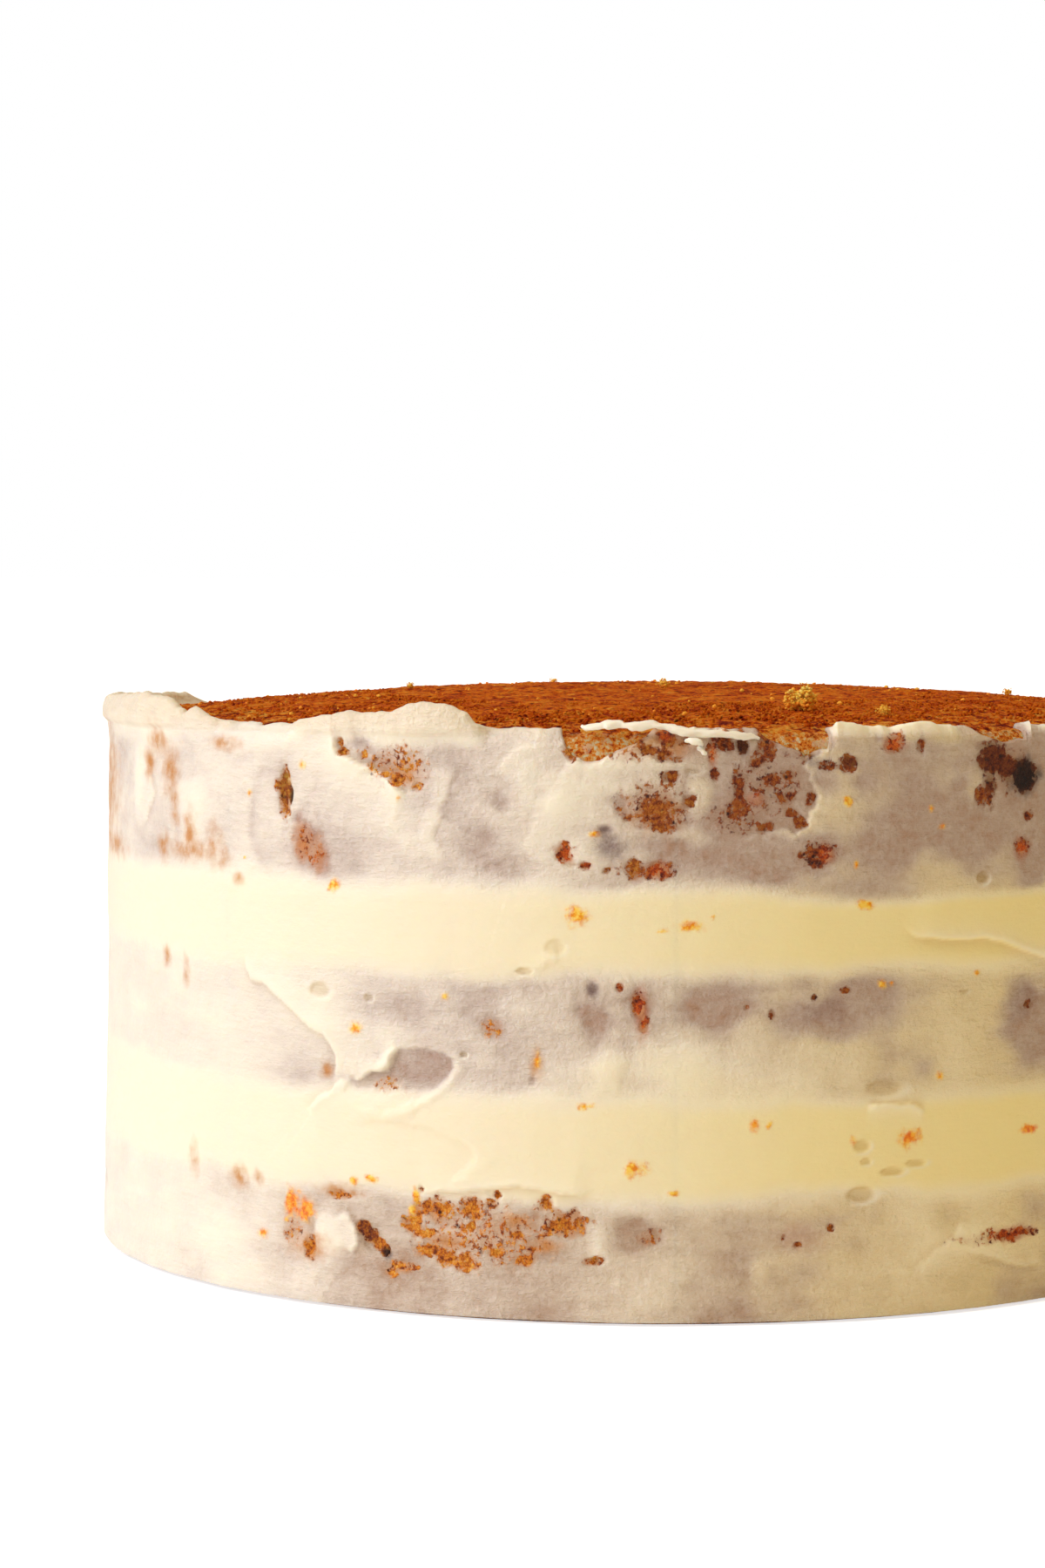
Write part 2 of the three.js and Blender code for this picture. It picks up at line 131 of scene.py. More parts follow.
# Edges of spatula strokes: the cream is thick on the left hand of the path, going along it, by the height
# high, which fades over the way reach. Where a row gives no soft or ragged, these hold
LAP_SOFT = 0.35
LAP_RAGGED = 1
LAPS = [
    {"high": 0.4, "reach": 9, "soft": 1.5, "path": [
        (-41, 72), (-43, 79.4), (-42.8, 84.8), (-41.8, 89.3), (-40.3, 93.2)]},
    {"high": 1.05, "reach": 7, "ragged": 0.5, "soft": 0.2, "path": [
        (-23.5, 86.6), (-24.8, 87.9), (-25.6, 89.6), (-27.2, 90.7), (-30.6, 93), (-31.6, 94.4),
        (-32.1, 97.2)]},
    {"high": 0.45, "reach": 6, "soft": 0.7, "path": [
        (-19.5, 76.7), (-20.4, 78.1), (-21, 80), (-20.8, 81.7), (-19.7, 87.5), (-19, 91.8)]},
    {"high": 0.55, "reach": 7, "soft": 1.6, "path": [
        (-7.4, 92), (-9, 88.6), (-10.9, 83.8), (-11.9, 80.6), (-12.6, 77)]},
    {"high": 0.7, "reach": 3, "soft": 0.7, "path": [
        (-0.8, 97), (-2.1, 95.7), (-3.7, 94.4), (-5.1, 92.9), (-6.7, 92.6), (-8.4, 93.6)]},
    {"high": 0.7, "reach": 1.2, "soft": 0.2, "path": [
        (-30, 38.6), (-28.6, 39.4), (-27.4, 40.6), (-26.2, 41), (-25.4, 43.4), (-24.4, 45)]},
    {"high": 0.35, "reach": 3, "soft": 0.9, "path": [
        (-9.6, 96.2), (-12.5, 95.4), (-14.2, 93.2), (-14.8, 90)]},
    {"high": 0.3, "reach": 2.5, "soft": 0.9, "path": [(-11, 93.4), (-12.6, 92), (-13.2, 89.6)]},
    {"high": 0.6, "reach": 6, "ragged": 0.5, "path": [
        (-43.4, 59), (-43.2, 55.9), (-42.5, 54.2), (-40.9, 53.8), (-39.5, 52.4), (-36.7, 49.4),
        (-34.8, 47.1), (-33.2, 46.2), (-32.4, 44.5), (-31.7, 42.4), (-31.9, 39.4), (-32.7, 37.5)]},
    {"high": 0.5, "reach": 5, "path": [(-30.2, 39.4), (-32.3, 37), (-34.2, 34.9), (-35.3, 32.9)]},
    {"high": 0.45, "reach": 4, "soft": 0.9, "path": [
        (-30.2, 32.2), (-26.3, 32.7), (-22.8, 32.4), (-19.8, 31.1), (-17.9, 29.4), (-16.8, 27.5),
        (-17.2, 25.8), (-18.6, 24.3), (-20.2, 21.3)]},
    {"high": 0.6, "reach": 6, "soft": 0.2, "ragged": 0.4, "path": [
        (-22.2, 20.6), (-20.2, 21.3), (-17.7, 21.5), (-15.6, 22.2), (-12.4, 22.8), (-8.9, 22),
        (-6.7, 21.6), (-5.4, 22.8)]},
    {"high": 1.1, "reach": 5, "ragged": 0.5, "path": [
        (23.5, 66), (25.3, 63.4), (28.1, 62.9), (32.4, 62.7), (34.6, 62.1), (37.5, 60.2), (40.2, 58.6),
        (44, 56.5), (52, 55)]},
    {"high": 0.9, "reach": 1.3, "soft": 0.3, "ragged": 0.5, "path": [
        (26.6, 34.9), (25.2, 35.6), (22.8, 36), (20.2, 36.2)]},
    {"high": 0.5, "reach": 5, "soft": 0.6, "ragged": 0.6, "path": [
        (30.8, 16), (29.6, 13), (27.6, 10.9), (26.4, 9.5), (25.2, 7.4)]},
    {"high": 0.5, "reach": 4, "soft": 0.5, "ragged": 0.6, "path": [
        (30.7, 10.9), (33.1, 9.4), (37.5, 6.8), (41, 6.4)]},
    {"high": 0.5, "reach": 5, "ragged": 1.7, "path": [
        (17.2, 97), (16.8, 94.9), (15.5, 94.6), (14, 92.1), (14.9, 88.8), (15.2, 85.9), (14.5, 83.4),
        (13.8, 82), (12.8, 81.3), (10.9, 81.6), (9.2, 81.4), (7, 80.6)]},
    {"high": 0.6, "reach": 5, "path": [(-30.2, 9), (-29.2, 11.2), (-29.6, 14), (-31, 17)]},
    {"high": 0.3, "reach": 8, "path": [(-63, 78), (-60, 84), (-62, 92)]},
    {"high": 0.4, "reach": 2, "soft": 0.6, "path": [(-12.2, 57.6), (-10.2, 59.2), (-8.6, 61)]},
]

# The hollow with a thin floor and a raised rim: outline, depth and rim height
SCOOP = {
    "outline": [
        (-30.2, 39.4), (-27.9, 40.9), (-26.1, 41), (-25.7, 42.4), (-25.6, 43.4), (-25, 44.9),
        (-23.4, 45.1), (-21.4, 45.1), (-20.3, 44.6), (-19.3, 43.4), (-19.1, 42), (-19.8, 39.9),
        (-20.7, 38.4), (-22.3, 36.5), (-23.9, 35), (-26.4, 33.6), (-29.2, 34.6), (-30.8, 36.8),
    ],
    "deep": 0.55,
    "rim": 0.45,
}

# Small dents and burst bubbles: middle, width, height and depth
DENTS = [
    (-33.6, 53.5, 4.4, 2.8, 0.4), (-28.1, 52.8, 1.9, 1.5, 0.4), (-18.1, 44.2, 1.4, 1, 0.5),
    (-12.1, 58.4, 3.2, 1.2, 0.5), (32.9, 72.7, 2.6, 2.1, 0.9), (22.2, 38.6, 7, 2.8, 0.35),
    (19.8, 29.2, 3, 2.2, 0.45), (20.2, 26.6, 2.1, 1.3, 0.4), (22.9, 24.7, 4.6, 1.6, 0.45),
    (25.4, 25.9, 4, 1.4, 0.4), (19.8, 21.2, 5.2, 2.8, 0.5), (30.7, 53.9, 2, 0.7, 0.4),
    (-9.2, 62.4, 3.6, 2.8, 0.25), (-7.8, 76, 2.6, 0.9, 0.4), (3.6, 91.4, 3, 1, 0.3),
]

# Places where the crumb shows through a last film of cream: middle, width and height
FILMED = [
    (-78, 84, 22, 21), (-76, 73.6, 24, 5), (-58.8, 93.2, 7, 5.4), (-56.2, 88.4, 6, 10),
    (-55.4, 82.4, 3.4, 8), (-61, 89.4, 4.5, 6), (-58, 75.3, 5, 5), (-52.4, 78.4, 4.4, 8),
    (-52.4, 75.1, 16, 3.6), (-48.2, 76.6, 5, 7), (-46.6, 74.4, 4, 3.6), (-51.7, 21.7, 2.8, 6),
    (-44.2, 71.3, 2.8, 2.4), (-44.5, 20.1, 4.6, 4), (-46.5, 94, 8, 2.4), (-57, 56, 3, 4), (-53, 54, 2.4, 5),
    (-11, 43, 2.4, 5.4), (-36, 78.4, 3.4, 6), (-33.9, 75.7, 2.4, 4.6), (-31, 20, 10, 2.6), (-35, 10, 10, 5),
    (-33, 40, 3, 3), (-23.6, 90, 5, 3.6), (-20, 13, 6, 3), (-13, 17, 5, 3), (-10, 13, 5, 2.4),
    (0, 84.8, 9, 6), (0, 95.5, 14, 4), (-41.7, 20.5, 2.8, 2.4),
]

# Places scraped bare, down to the crumb
BARE = [
    (-31.2, 95.6, 1.2, 1.6), (-30.9, 93.6, 2, 1.2), (-24.9, 89.7, 3.4, 2.4), (-28.6, 93.2, 1.4, 1.4),
    (-26.3, 90.2, 1.6, 1.1), (-23.6, 91.3, 1, 1), (-38.7, 87.7, 2.5, 2.3), (-38, 86.2, 2.4, 8),
    (-7.4, 94.9, 3.1, 3.7), (-5, 96.4, 4.3, 2.4), (-2.9, 97.2, 5.7, 2), (-1.3, 96.7, 2.8, 2),
    (-0.5, 94.8, 3.4, 2), (1, 93.9, 2.5, 2), (2.1, 93.4, 2, 1.2), (1.5, 96.2, 4.4, 2), (0, 84.8, 8.5, 4.8),
    (1.3, 90.4, 3.1, 2.2), (0.7, 82.3, 3.7, 2), (-8.4, 77.9, 3.4, 3.1), (-6.4, 75.9, 2, 1.2),
    (-4.5, 75.1, 1.4, 1), (-2, 75.1, 3.7, 3.1), (0.4, 74.9, 3.7, 3.1), (5.3, 94.7, 1.7, 4.2),
    (6.7, 96.4, 2.8, 4.2), (7.9, 88.6, 2.6, 7.1), (7.8, 85.1, 4, 4.2), (10.4, 94.7, 3.2, 4.2),
    (11.4, 90, 2.3, 2.8), (12.4, 90.7, 2.9, 2), (14.1, 94.6, 2.6, 3.7), (12.4, 87.1, 3.5, 2.3),
    (13.7, 82.8, 2.3, 2.3), (10.4, 82.2, 2.9, 1.5), (14.8, 86.6, 1.8, 2), (15.5, 77.5, 6.5, 3.4),
    (16.6, 92, 4.4, 1.4), (18.3, 92.7, 3, 2.8), (25.9, 95.1, 1.6, 2.8), (33.7, 87.6, 2.7, 5.7),
    (32.7, 86.2, 3.4, 3.7), (33.9, 92.8, 6, 5), (35.6, 91, 5, 4), (38, 89.3, 5.4, 5), (38.6, 82.9, 2.2, 1.7),
    (35.5, 96.8, 6, 2.4), (-35.1, 9.7, 2.4, 4.2), (-31.3, 19.2, 4.6, 1.2), (-22.4, 21.3, 1.2, 1.4),
    (-22.9, 17, 1.9, 5.7), (-23.6, 15.5, 3.4, 2.5), (-19.9, 18.6, 2.3, 2.2), (-17.5, 18.8, 4.4, 3.3),
    (-16.8, 17.3, 3, 1.6), (-15.4, 19.6, 2.3, 1.9), (-14.8, 21.2, 1.4, 1.2), (-17.4, 15.7, 2, 1.6),
    (-8.5, 16.9, 8, 4.4), (-10.2, 20.1, 2.2, 2.5), (-12.9, 14.7, 2.2, 1.5), (-11.4, 12.5, 2.2, 1.2),
    (-15, 11.4, 3.2, 1.5), (-12.3, 10.7, 3.7, 1.8), (-21.5, 11.2, 6.4, 2.2), (-19.2, 10.1, 6.4, 2.7),
    (-24.5, 8, 4.2, 2.2), (-17.9, 9.2, 4.2, 2.4), (-5.6, 10.7, 3.6, 1.3), (-25.7, 6.9, 2.5, 1.4),
    (36.5, 12.3, 10, 1.9), (-1.5, 53, 1.9, 4.4), (-0.9, 50, 1.5, 2.6), (-3.2, 56, 1, 1.2),
    (37.7, 77.4, 2.8, 3), (1, 97, 3, 1.6), (22.9, 95.4, 3.6, 2.4), (-22.8, 88.2, 2, 1.6), (-21, 18, 6, 4),
    (-22, 14, 4, 1.6), (9.4, 92.6, 2.4, 1.6), (15, 54, 1.3, 1.3), (11, 51.3, 1.1, 1.9), (18.2, 55.1, 1.8, 1),
    (38.8, 51, 2, 1.8), (8.6, 52.6, 0.9, 1), (16.8, 15.8, 1.3, 1.3), (13.6, 13.2, 1.6, 0.9),
    (12.2, 14.6, 1.2, 1.2), (12.8, 84.6, 2, 1.4), (3.2, 86.6, 2.4, 2), (-2.6, 83.6, 1.6, 1),
    (5.6, 91, 1.6, 2),
]

# Nuts, dates and raisins with no cream over them
SOLID = [
    (38, 89.3, 4.6, 5), (34.1, 92.6, 5.6, 4.4), (35.8, 91, 4.4, 3.4), (-38.2, 87, 2.2, 5.4),
    (-28.8, 14, 2.8, 2.2), (-27.9, 12.8, 2.6, 2.2), (-27.1, 11.7, 2.2, 2), (-26.3, 10.6, 1.8, 1.8),
    (-37.4, 85.8, 1.4, 2.8), (8.2, 95.4, 1.6, 2.4), (1, 97, 2.4, 1.4),
]

# Places where the cream is full of small pits down to the crumb
PITTED = [
    (10.5, 89, 12, 11), (0.4, 86, 13, 9), (-25, 92, 13, 7), (-35.4, 77.6, 5, 7), (-16, 14, 22, 11),
    (-34.6, 77, 6, 7), (36, 90, 8, 9), (8, 83.4, 10, 6), (-2.5, 95, 11, 4), (-1, 75.6, 10, 3),
    (-37, 12, 5, 6), (34, 12.4, 14, 3), (15.6, 77.6, 8, 4), (-0.4, 14.6, 4, 3), (-15.4, 48.8, 4.4, 3.6),
    (-26, 38.6, 6, 3),
]

# Places where only a thin veil of cream is left over the crumb
VEILED = [
    (-29, 95, 5, 3), (-26, 90.6, 7, 4), (-35, 78.6, 8, 10), (-33.5, 75.7, 4.6, 6.7), (-36.4, 82, 3, 3),
    (-6.2, 93.6, 4.4, 2.6), (-4.2, 94.7, 3.6, 2), (2.5, 95.2, 5, 3.4), (-4.6, 81.8, 2.8, 2),
    (-3.2, 85.8, 3.4, 3.4), (-14.6, 86, 4.6, 3), (0.4, 79, 10, 4), (7.6, 92.4, 9, 8), (11.6, 84.6, 8, 5.4),
    (10.6, 91.2, 8, 9), (6.8, 83.6, 7, 6), (23.1, 95.5, 3.1, 2), (21.5, 96.4, 1.5, 1.4),
    (37.7, 77.4, 3.4, 3.6), (36.4, 80.1, 1.8, 2.3), (26.8, 89.4, 1.6, 2.3), (15.6, 74.9, 5.9, 2.3),
    (20, 89.6, 6, 6), (30, 88, 5, 8), (38.6, 92, 5, 8), (-1.5, 52.6, 2.2, 7), (-3.2, 56, 1.4, 1.4),
    (-5.7, 55.8, 2.6, 3), (-15.2, 48.9, 5.6, 4.2), (-11.4, 40.4, 1.4, 2), (18.2, 55.1, 2.4, 1.1),
    (11, 51.3, 1.3, 2), (38.8, 50.6, 3.6, 3.4), (-24, 40, 6, 4), (-35, 13, 2.6, 3), (-37.9, 11.4, 2, 1.6),
    (-24, 10, 9, 5),
]

# Soft shadows of the crumb under the cream, then places where the cream is thicker, and by how much
SHADED = [
    (10, 80, 18, 12), (13, 90, 12, 12), (9, 75.5, 14, 7), (31, 80, 14, 10), (15, 50, 16, 7),
    (39, 82, 10, 22), (22, 50, 10, 8), (20, 54, 12, 6), (-1.7, 15.2, 7, 6), (19, 54, 8, 5),
    (38.3, 48.5, 9, 13), (5.4, 53, 9, 6), (-5.8, 51, 6, 8), (-4.1, 78.7, 5, 5), (-5.7, 52.5, 7, 7),
    (-1.4, 53.6, 6, 7), (12, 77.1, 14, 6), (2.6, 78, 9, 6), (-17, 80, 8, 5), (22, 79, 16, 9),
    (-15, 75.5, 12, 4), (26, 84, 8, 9), (-25, 52, 10, 5), (-16, 52, 8, 9), (24, 13, 6, 6), (34, 20, 8, 5),
]
THICK = [
    (-40.4, 84, 5, 16, 0.35), (-52, 83, 9, 12, 0.5), (-64, 84, 4, 14, 0.4), (-8.6, 86, 5, 9, 0.3),
    (4.2, 88, 3.4, 7, 0.5), (4, 80.6, 6, 3, 0.4), (9.6, 88, 2.4, 5, 0.45), (25, 88, 6, 7, 0.1),
    (-22, 96, 12, 4, 0.4), (-40, 95, 16, 5, 0.4), (-60, 95, 26, 6, 0.5), (-4, 44, 4, 8, 0.6),
    (-9, 42, 9, 9, 0.4), (6, 37.5, 52, 18, 0.95), (4, 43, 22, 7, 0.35), (14, 43, 16, 7, 0.2),
    (24, 48, 8, 5, 0.15), (30.5, 46, 11, 20, 0.2), (-5, 13, 3.6, 7, 0.5), (-32.6, 12.4, 5, 9, 0.6),
    (-19.4, 14.4, 6, 2.2, 0.3), (-13.6, 18, 2.6, 2.4, 0.4), (10, 9, 3, 5, 0.4), (25, 14, 10, 14, 0.8),
    (-25, 95.8, 12, 4, 0.4), (32, 13, 12, 6, 0.7), (-1, 19.5, 9, 4, 0.6), (33, 20, 12, 6, 0.9),
    (-48, 9, 20, 12, 0.5), (15, 19.5, 12, 3.5, 0.4),
]

# What else lies in the crumb, by kind: middle, width and height
CARROTS = [
    (-1.3, 52, 2.2, 7.5), (-3.2, 56, 1.4, 1.5), (37.8, 77.1, 2.9, 3.4), (22.9, 95.4, 3.8, 2.6),
    (-8.3, 77.9, 3.4, 3), (0.3, 75, 3.4, 2.8), (-6.4, 76, 2, 1.3), (16.2, 77.6, 2.6, 2.6),
    (9.4, 86.6, 2.6, 2), (5.4, 94, 1.6, 4), (1, 97, 2.6, 1.5), (36.5, 12.3, 10, 2.6),
]
INCLUSIONS = [
    ("zest", [(-36.4, 16.4, 6, 5), (9.4, 33.3, 2, 2.2), (38.5, 29.9, 3.2, 1.6), (24.6, 30.3, 2, 2)]),
    ("carrot", CARROTS),
    ("pink", [(-33.6, 75.7, 3.4, 5.7), (-35.9, 78.4, 5, 8), (14, 14.4, 8, 4)]),
    ("raisin", [
        (-5.7, 55.8, 2, 2.4), (-4, 78.9, 4.8, 4), (8.2, 95.4, 1.8, 2.6), (15, 93, 1.8, 1.4),
        (-4.6, 81.8, 2, 1.2),
    ]),
    ("date", [(38, 89.5, 6, 5.2), (-37.2, 85.6, 1.8, 4)]),
    ("walnut", [
        (33.9, 92.8, 5.4, 5), (35.4, 91, 4, 4), (-38.3, 87.4, 2.4, 7), (-28.2, 13, 4, 4.4),
        (33.8, 88.6, 2.2, 3), (18.5, 92.6, 2.6, 1.4),
    ]),
    ("date", [(-26.2, 10.2, 1.6, 1.8)]),
    ("shade", [(37.6, 52, 6, 7), (16, 52, 8, 4)]),
]

# Crumbs caught in the cream of the fillings and the coat: middle, width and height
CAUGHT = [
    (-37.2, 16.8, 3.4, 4.8), (-35.5, 16, 3.4, 4.4), (-41.1, 11.2, 2.6, 1.6), (-38, 14, 1.4, 1.2),
    (-29.7, 22, 1.6, 1.4), (-27.8, 22.6, 2.4, 1.4), (-23, 20.4, 1.2, 2.4), (-23.4, 17.6, 1.6, 2.4),
    (-7.1, 67.5, 3.4, 3), (3.4, 65.9, 4.5, 1.8), (0.8, 65.3, 1.7, 0.8), (5.4, 67.6, 0.7, 0.7),
    (20.1, 69.2, 2.4, 1.4), (-31.9, 71.5, 2.3, 2), (-29.5, 47.6, 2, 1.9), (-20, 53.8, 1.4, 1.6),
    (-6.5, 36.4, 3, 1.2), (21.9, 55.9, 1.7, 1.6), (22.9, 56, 0.8, 0.7), (32.1, 56.9, 1.5, 1.3),
    (28, 40, 1.4, 1.3), (9.4, 33.3, 2, 2), (10.7, 33.2, 1.2, 1.4), (18.9, 30.1, 1.5, 1.4),
    (24.6, 30.3, 3.7, 3.1), (38.5, 29.9, 3.2, 1.4), (-1.8, 26.2, 3.4, 2.8), (1.7, 22.2, 2.1, 0.8),
    (-43.4, 74.9, 0.8, 0.6), (-35.7, 91.2, 1.6, 1.3), (-24.7, 86.2, 0.9, 0.8), (-42.8, 86.1, 1.2, 1.1),
    (19.2, 75.7, 0.9, 1.4), (18.3, 86.1, 1.5, 1.4), (-5.5, 81.2, 1.8, 1), (-10.9, 43.6, 1.4, 3.2),
    (27, 84.6, 1.2, 1), (28.2, 81.6, 1.3, 1.1), (-37.8, 88.4, 2, 1.6),
]

# Loose crumbs on the crust: place and width, as in the model
CRUMBS = [
    (25.4, -61.4, 5.4), (39, -66.6, 2.6), (1.6, -5.6, 2.6), (-46, 11, 1.8), (68, 34, 2), (26.2, -28, 1.8),
    (-20, 52, 1.6), (30, 70, 2),
]
STREWN = 260  # the finest loose crumbs
STREWN_SIZES = (0.12, 0.34)
CRUST_GRAINS = 5200  # grains that stand up from the crust
GRAIN_SIZES = (0.25, 0.62)
GRAIN_SPREAD = 62  # in degrees to either side of the front

COAT_SHEETS = {  # first and last angle, and columns of quads
    "coat_left": (-95, -46, 290),
    "coat_front": (-46, 2, 290),
    "coat_right": (2, 50, 290),
    "coat_back_right": (50, 157.5, 190),
    "coat_back_left": (157.5, 265, 190),
}
COAT_ROWS = 260
LIP_ROWS = 24
DOME_COLUMNS = 720
DOME_RINGS = 82
DOME_CROWDING = 1.35  # rings crowd towards the rim
DOME_TURN_ROWS = 12
SKIRT_ROWS = 15
SKIRT_FOOT = 84  # height where the crust's hidden skirt starts, and the coat's rows start to follow the rim
SKIRT_SHARE = 0.88  # share of the coat's rows below that height
SKIRT_UNDER = 0.2  # how far the skirt lies under the coat's own crumb


# ---- noise


def ease(value, low, high):
    """0 at low, 1 at high, smooth between."""
    share = np.clip((value - low) / (high - low), 0, 1)
    return share * share * (3 - 2 * share)


def bell(value, middle, width):
    """1 at middle, fading to 0 on both sides."""
    return np.exp(-(((value - middle) / width) ** 2))


class Noise:
    """Gradient noise over space, from about -1 to 1, the same each run."""

    SIZE = 256

    def __init__(self, seed):
        draw = np.random.default_rng(seed)
        self.order = draw.permutation(self.SIZE)
        slopes = draw.normal(size=(self.SIZE, 3))
        self.slopes = slopes / np.linalg.norm(slopes, axis=1, keepdims=True)

    def __call__(self, x, y, z):
        places = np.broadcast_arrays(x, y, z)
        cells = [np.floor(place).astype(int) for place in places]
        inside = [place - cell for place, cell in zip(places, cells)]
        fades = [t**3 * (t * (6 * t - 15) + 10) for t in inside]
        total = 0
        for corner in itertools.product((0, 1), repeat=3):
            key = 0
            weight = 1
            for cell, fade, step in zip(cells, fades, corner):
                key = self.order[(key + cell + step) % self.SIZE]
                weight = weight * (fade if step else 1 - fade)
            slope = self.slopes[key]
            total = total + weight * sum(slope[..., k] * (inside[k] - corner[k]) for k in range(3))
        return 1.6 * total


def on_side(angle, radius=CAKE_RADIUS):
    """x and y of an angle at a radius."""
    turn = np.radians(angle)
    return radius * np.sin(turn), -radius * np.cos(turn)


def side_noise(seed, angle, height, across, up=None, octaves=1):
    """Noise over the side, with features of about those sizes."""
    x, y = on_side(angle)
    noise = Noise(seed)
    total = 0
    for octave in range(octaves):
        fine = 2**octave
        total = total + noise(x * fine / across, y * fine / across, height * fine / (up or across)) / fine
    return total


# ---- shape of the top


def rim_height(angle):
    """Height of the edge where the sponge's side would meet the crust."""
    return RIM_HEIGHT + RIM_SLOPE * np.cos(np.radians(angle))


def crust_height(angle, radius):
    """Height of the domed crust."""
    fall = APEX_HEIGHT - rim_height(angle)
    return APEX_HEIGHT - fall * (radius / CAKE_RADIUS) ** DOME_POWER


def shoulder(angle):
    """Height where the side starts to round over, and how much higher the crust starts."""
    low = rim_height(angle) - SHOULDER
    return low, crust_height(angle, CAKE_RADIUS - SHOULDER) - low


def sponge_outline(angle, height):
    """Radius of the sponges at a height: straight, then rounded over at the top edge."""
    low, rise = shoulder(angle)
    share = np.clip((height - low) / rise, 0, 0.999)
    return CAKE_RADIUS - SHOULDER + SHOULDER * np.sqrt(1 - share**2)


# ---- shape of the side


def wrapped(angle, at):
    """Signed way from at to angle, in degrees."""
    return (angle - at + 180) % 360 - 180


def by_angle(angle, table):
    """A value by angle, straight between the table's rows and right round."""
    return np.interp(wrapped(angle, 90) + 90, *np.array(table).T, period=360)


def offsets(angle, height, at, middle):
    """Place relative to a feature's middle, in mm along the side and up."""
    return np.radians(wrapped(angle, at)) * CAKE_RADIUS, height - middle


def over_filling(angle, height):
    """1 over a filling, 0 over a sponge, with soft uneven borders."""
    at = wrapped(angle, 0)
    wander = 1.3 * side_noise(3, angle, height, 26, 18) + 0.9 * side_noise(4, angle, height, 8)
    dip = BAND_DIP * ease(at, 8, 22) * ease(at, 60, 45) * ease(height, 66, 72)
    level = height + wander + dip
    total = 0
    for low, high in FILLINGS:
        total = total + ease(level, low - BAND_BLUR, low + 2) - ease(level, high - 2, high + BAND_BLUR)
    return total


def crumb_relief(angle, height):
    """The torn sponge's surface over its mean."""
    grain = 0.17 * side_noise(11, angle, height, 1.3) + 0.15 * side_noise(12, angle, height, 2.6)
    slow = 0.12 * side_noise(13, angle, height, 6)
    pores = 0.5 * ease(side_noise(14, angle, height, 2.1), 0.3, 0.75)
    return np.clip(grain + slow - pores, -0.38, 0.5)


def oval(angle, height, spot):
    """Distance from a spot's middle, 1 on its outline."""
    at, middle, wide, high = spot
    across, up = offsets(angle, height, at, middle)
    return np.hypot(across / (wide / 2), up / (high / 2))


def blot(angle, height, spot, ragged, seed, soft):
    """1 inside an uneven oval spot, 0 outside."""
    away = oval(angle, height, spot)
    near = away < 2.2
    angle, height = angle[near], height[near]
    rough = side_noise(seed, angle, height, 2.2) + 0.6 * side_noise(seed + 1, angle, height, 1)
    result = np.zeros(np.shape(away))
    result[near] = ease(away[near] + ragged * rough, 1 + soft / 2, 1 - soft)
    return result


def blots(angle, height, spots, ragged, seed, soft=0.9):
    """The strongest of several blots at each place."""
    result = np.zeros(np.shape(height))
    for spot in spots:
        result = np.maximum(result, blot(angle, height, spot, ragged, seed, soft))
    return result


def cloud(angle, height, spot, seed):
    """A blot with a wide soft border and without small ragged parts."""
    away = oval(angle, height, spot)
    near = away < 2.4
    angle, height = angle[near], height[near]
    rough = 0.45 * side_noise(seed, angle, height, 8)
    rough = rough + min(0.35, 2 / (spot[2] + spot[3])) * side_noise(seed + 5, angle, height, 2.6)
    result = np.zeros(np.shape(away))
    result[near] = ease(away[near] + rough, 1.6, 0.2)
    return result


def path_distance(across, up, path, closed=False):
    """Distance to a path, its side (1 on the left hand, -1 on the right) and the share along it."""
    points = np.array(path, float)
    if closed:
        points = np.vstack([points, points[:1]])
    lengths = np.hypot(*np.diff(points, axis=0).T)
    starts = np.concatenate([[0], np.cumsum(lengths)])
    least = np.full(np.shape(across), np.inf)
    hand = np.ones(np.shape(across))
    along, weights = np.zeros((2,) + np.shape(across))
    for i, length in enumerate(lengths):
        way = (points[i + 1] - points[i]) / length
        x, y = across - points[i][0], up - points[i][1]
        reach = np.clip(x * way[0] + y * way[1], 0, length)
        away = np.hypot(x - reach * way[0], y - reach * way[1])
        closer = away < least
        least = np.where(closer, away, least)
        hand = np.where(closer, np.sign(way[0] * y - way[1] * x + 1e-9), hand)
        weight = 1 / (away**2 + 0.2) ** 2
        along = along + weight * (starts[i] + reach) / starts[-1]
        weights = weights + weight
    return least, hand, along / weights


def flattened(path):
    """A path of places as mm relative to its first place, and that place."""
    at, middle = path[0]
    flat = [(np.radians(wrapped(angle, at)) * CAKE_RADIUS, height - middle) for angle, height in path]
    return at, middle, flat


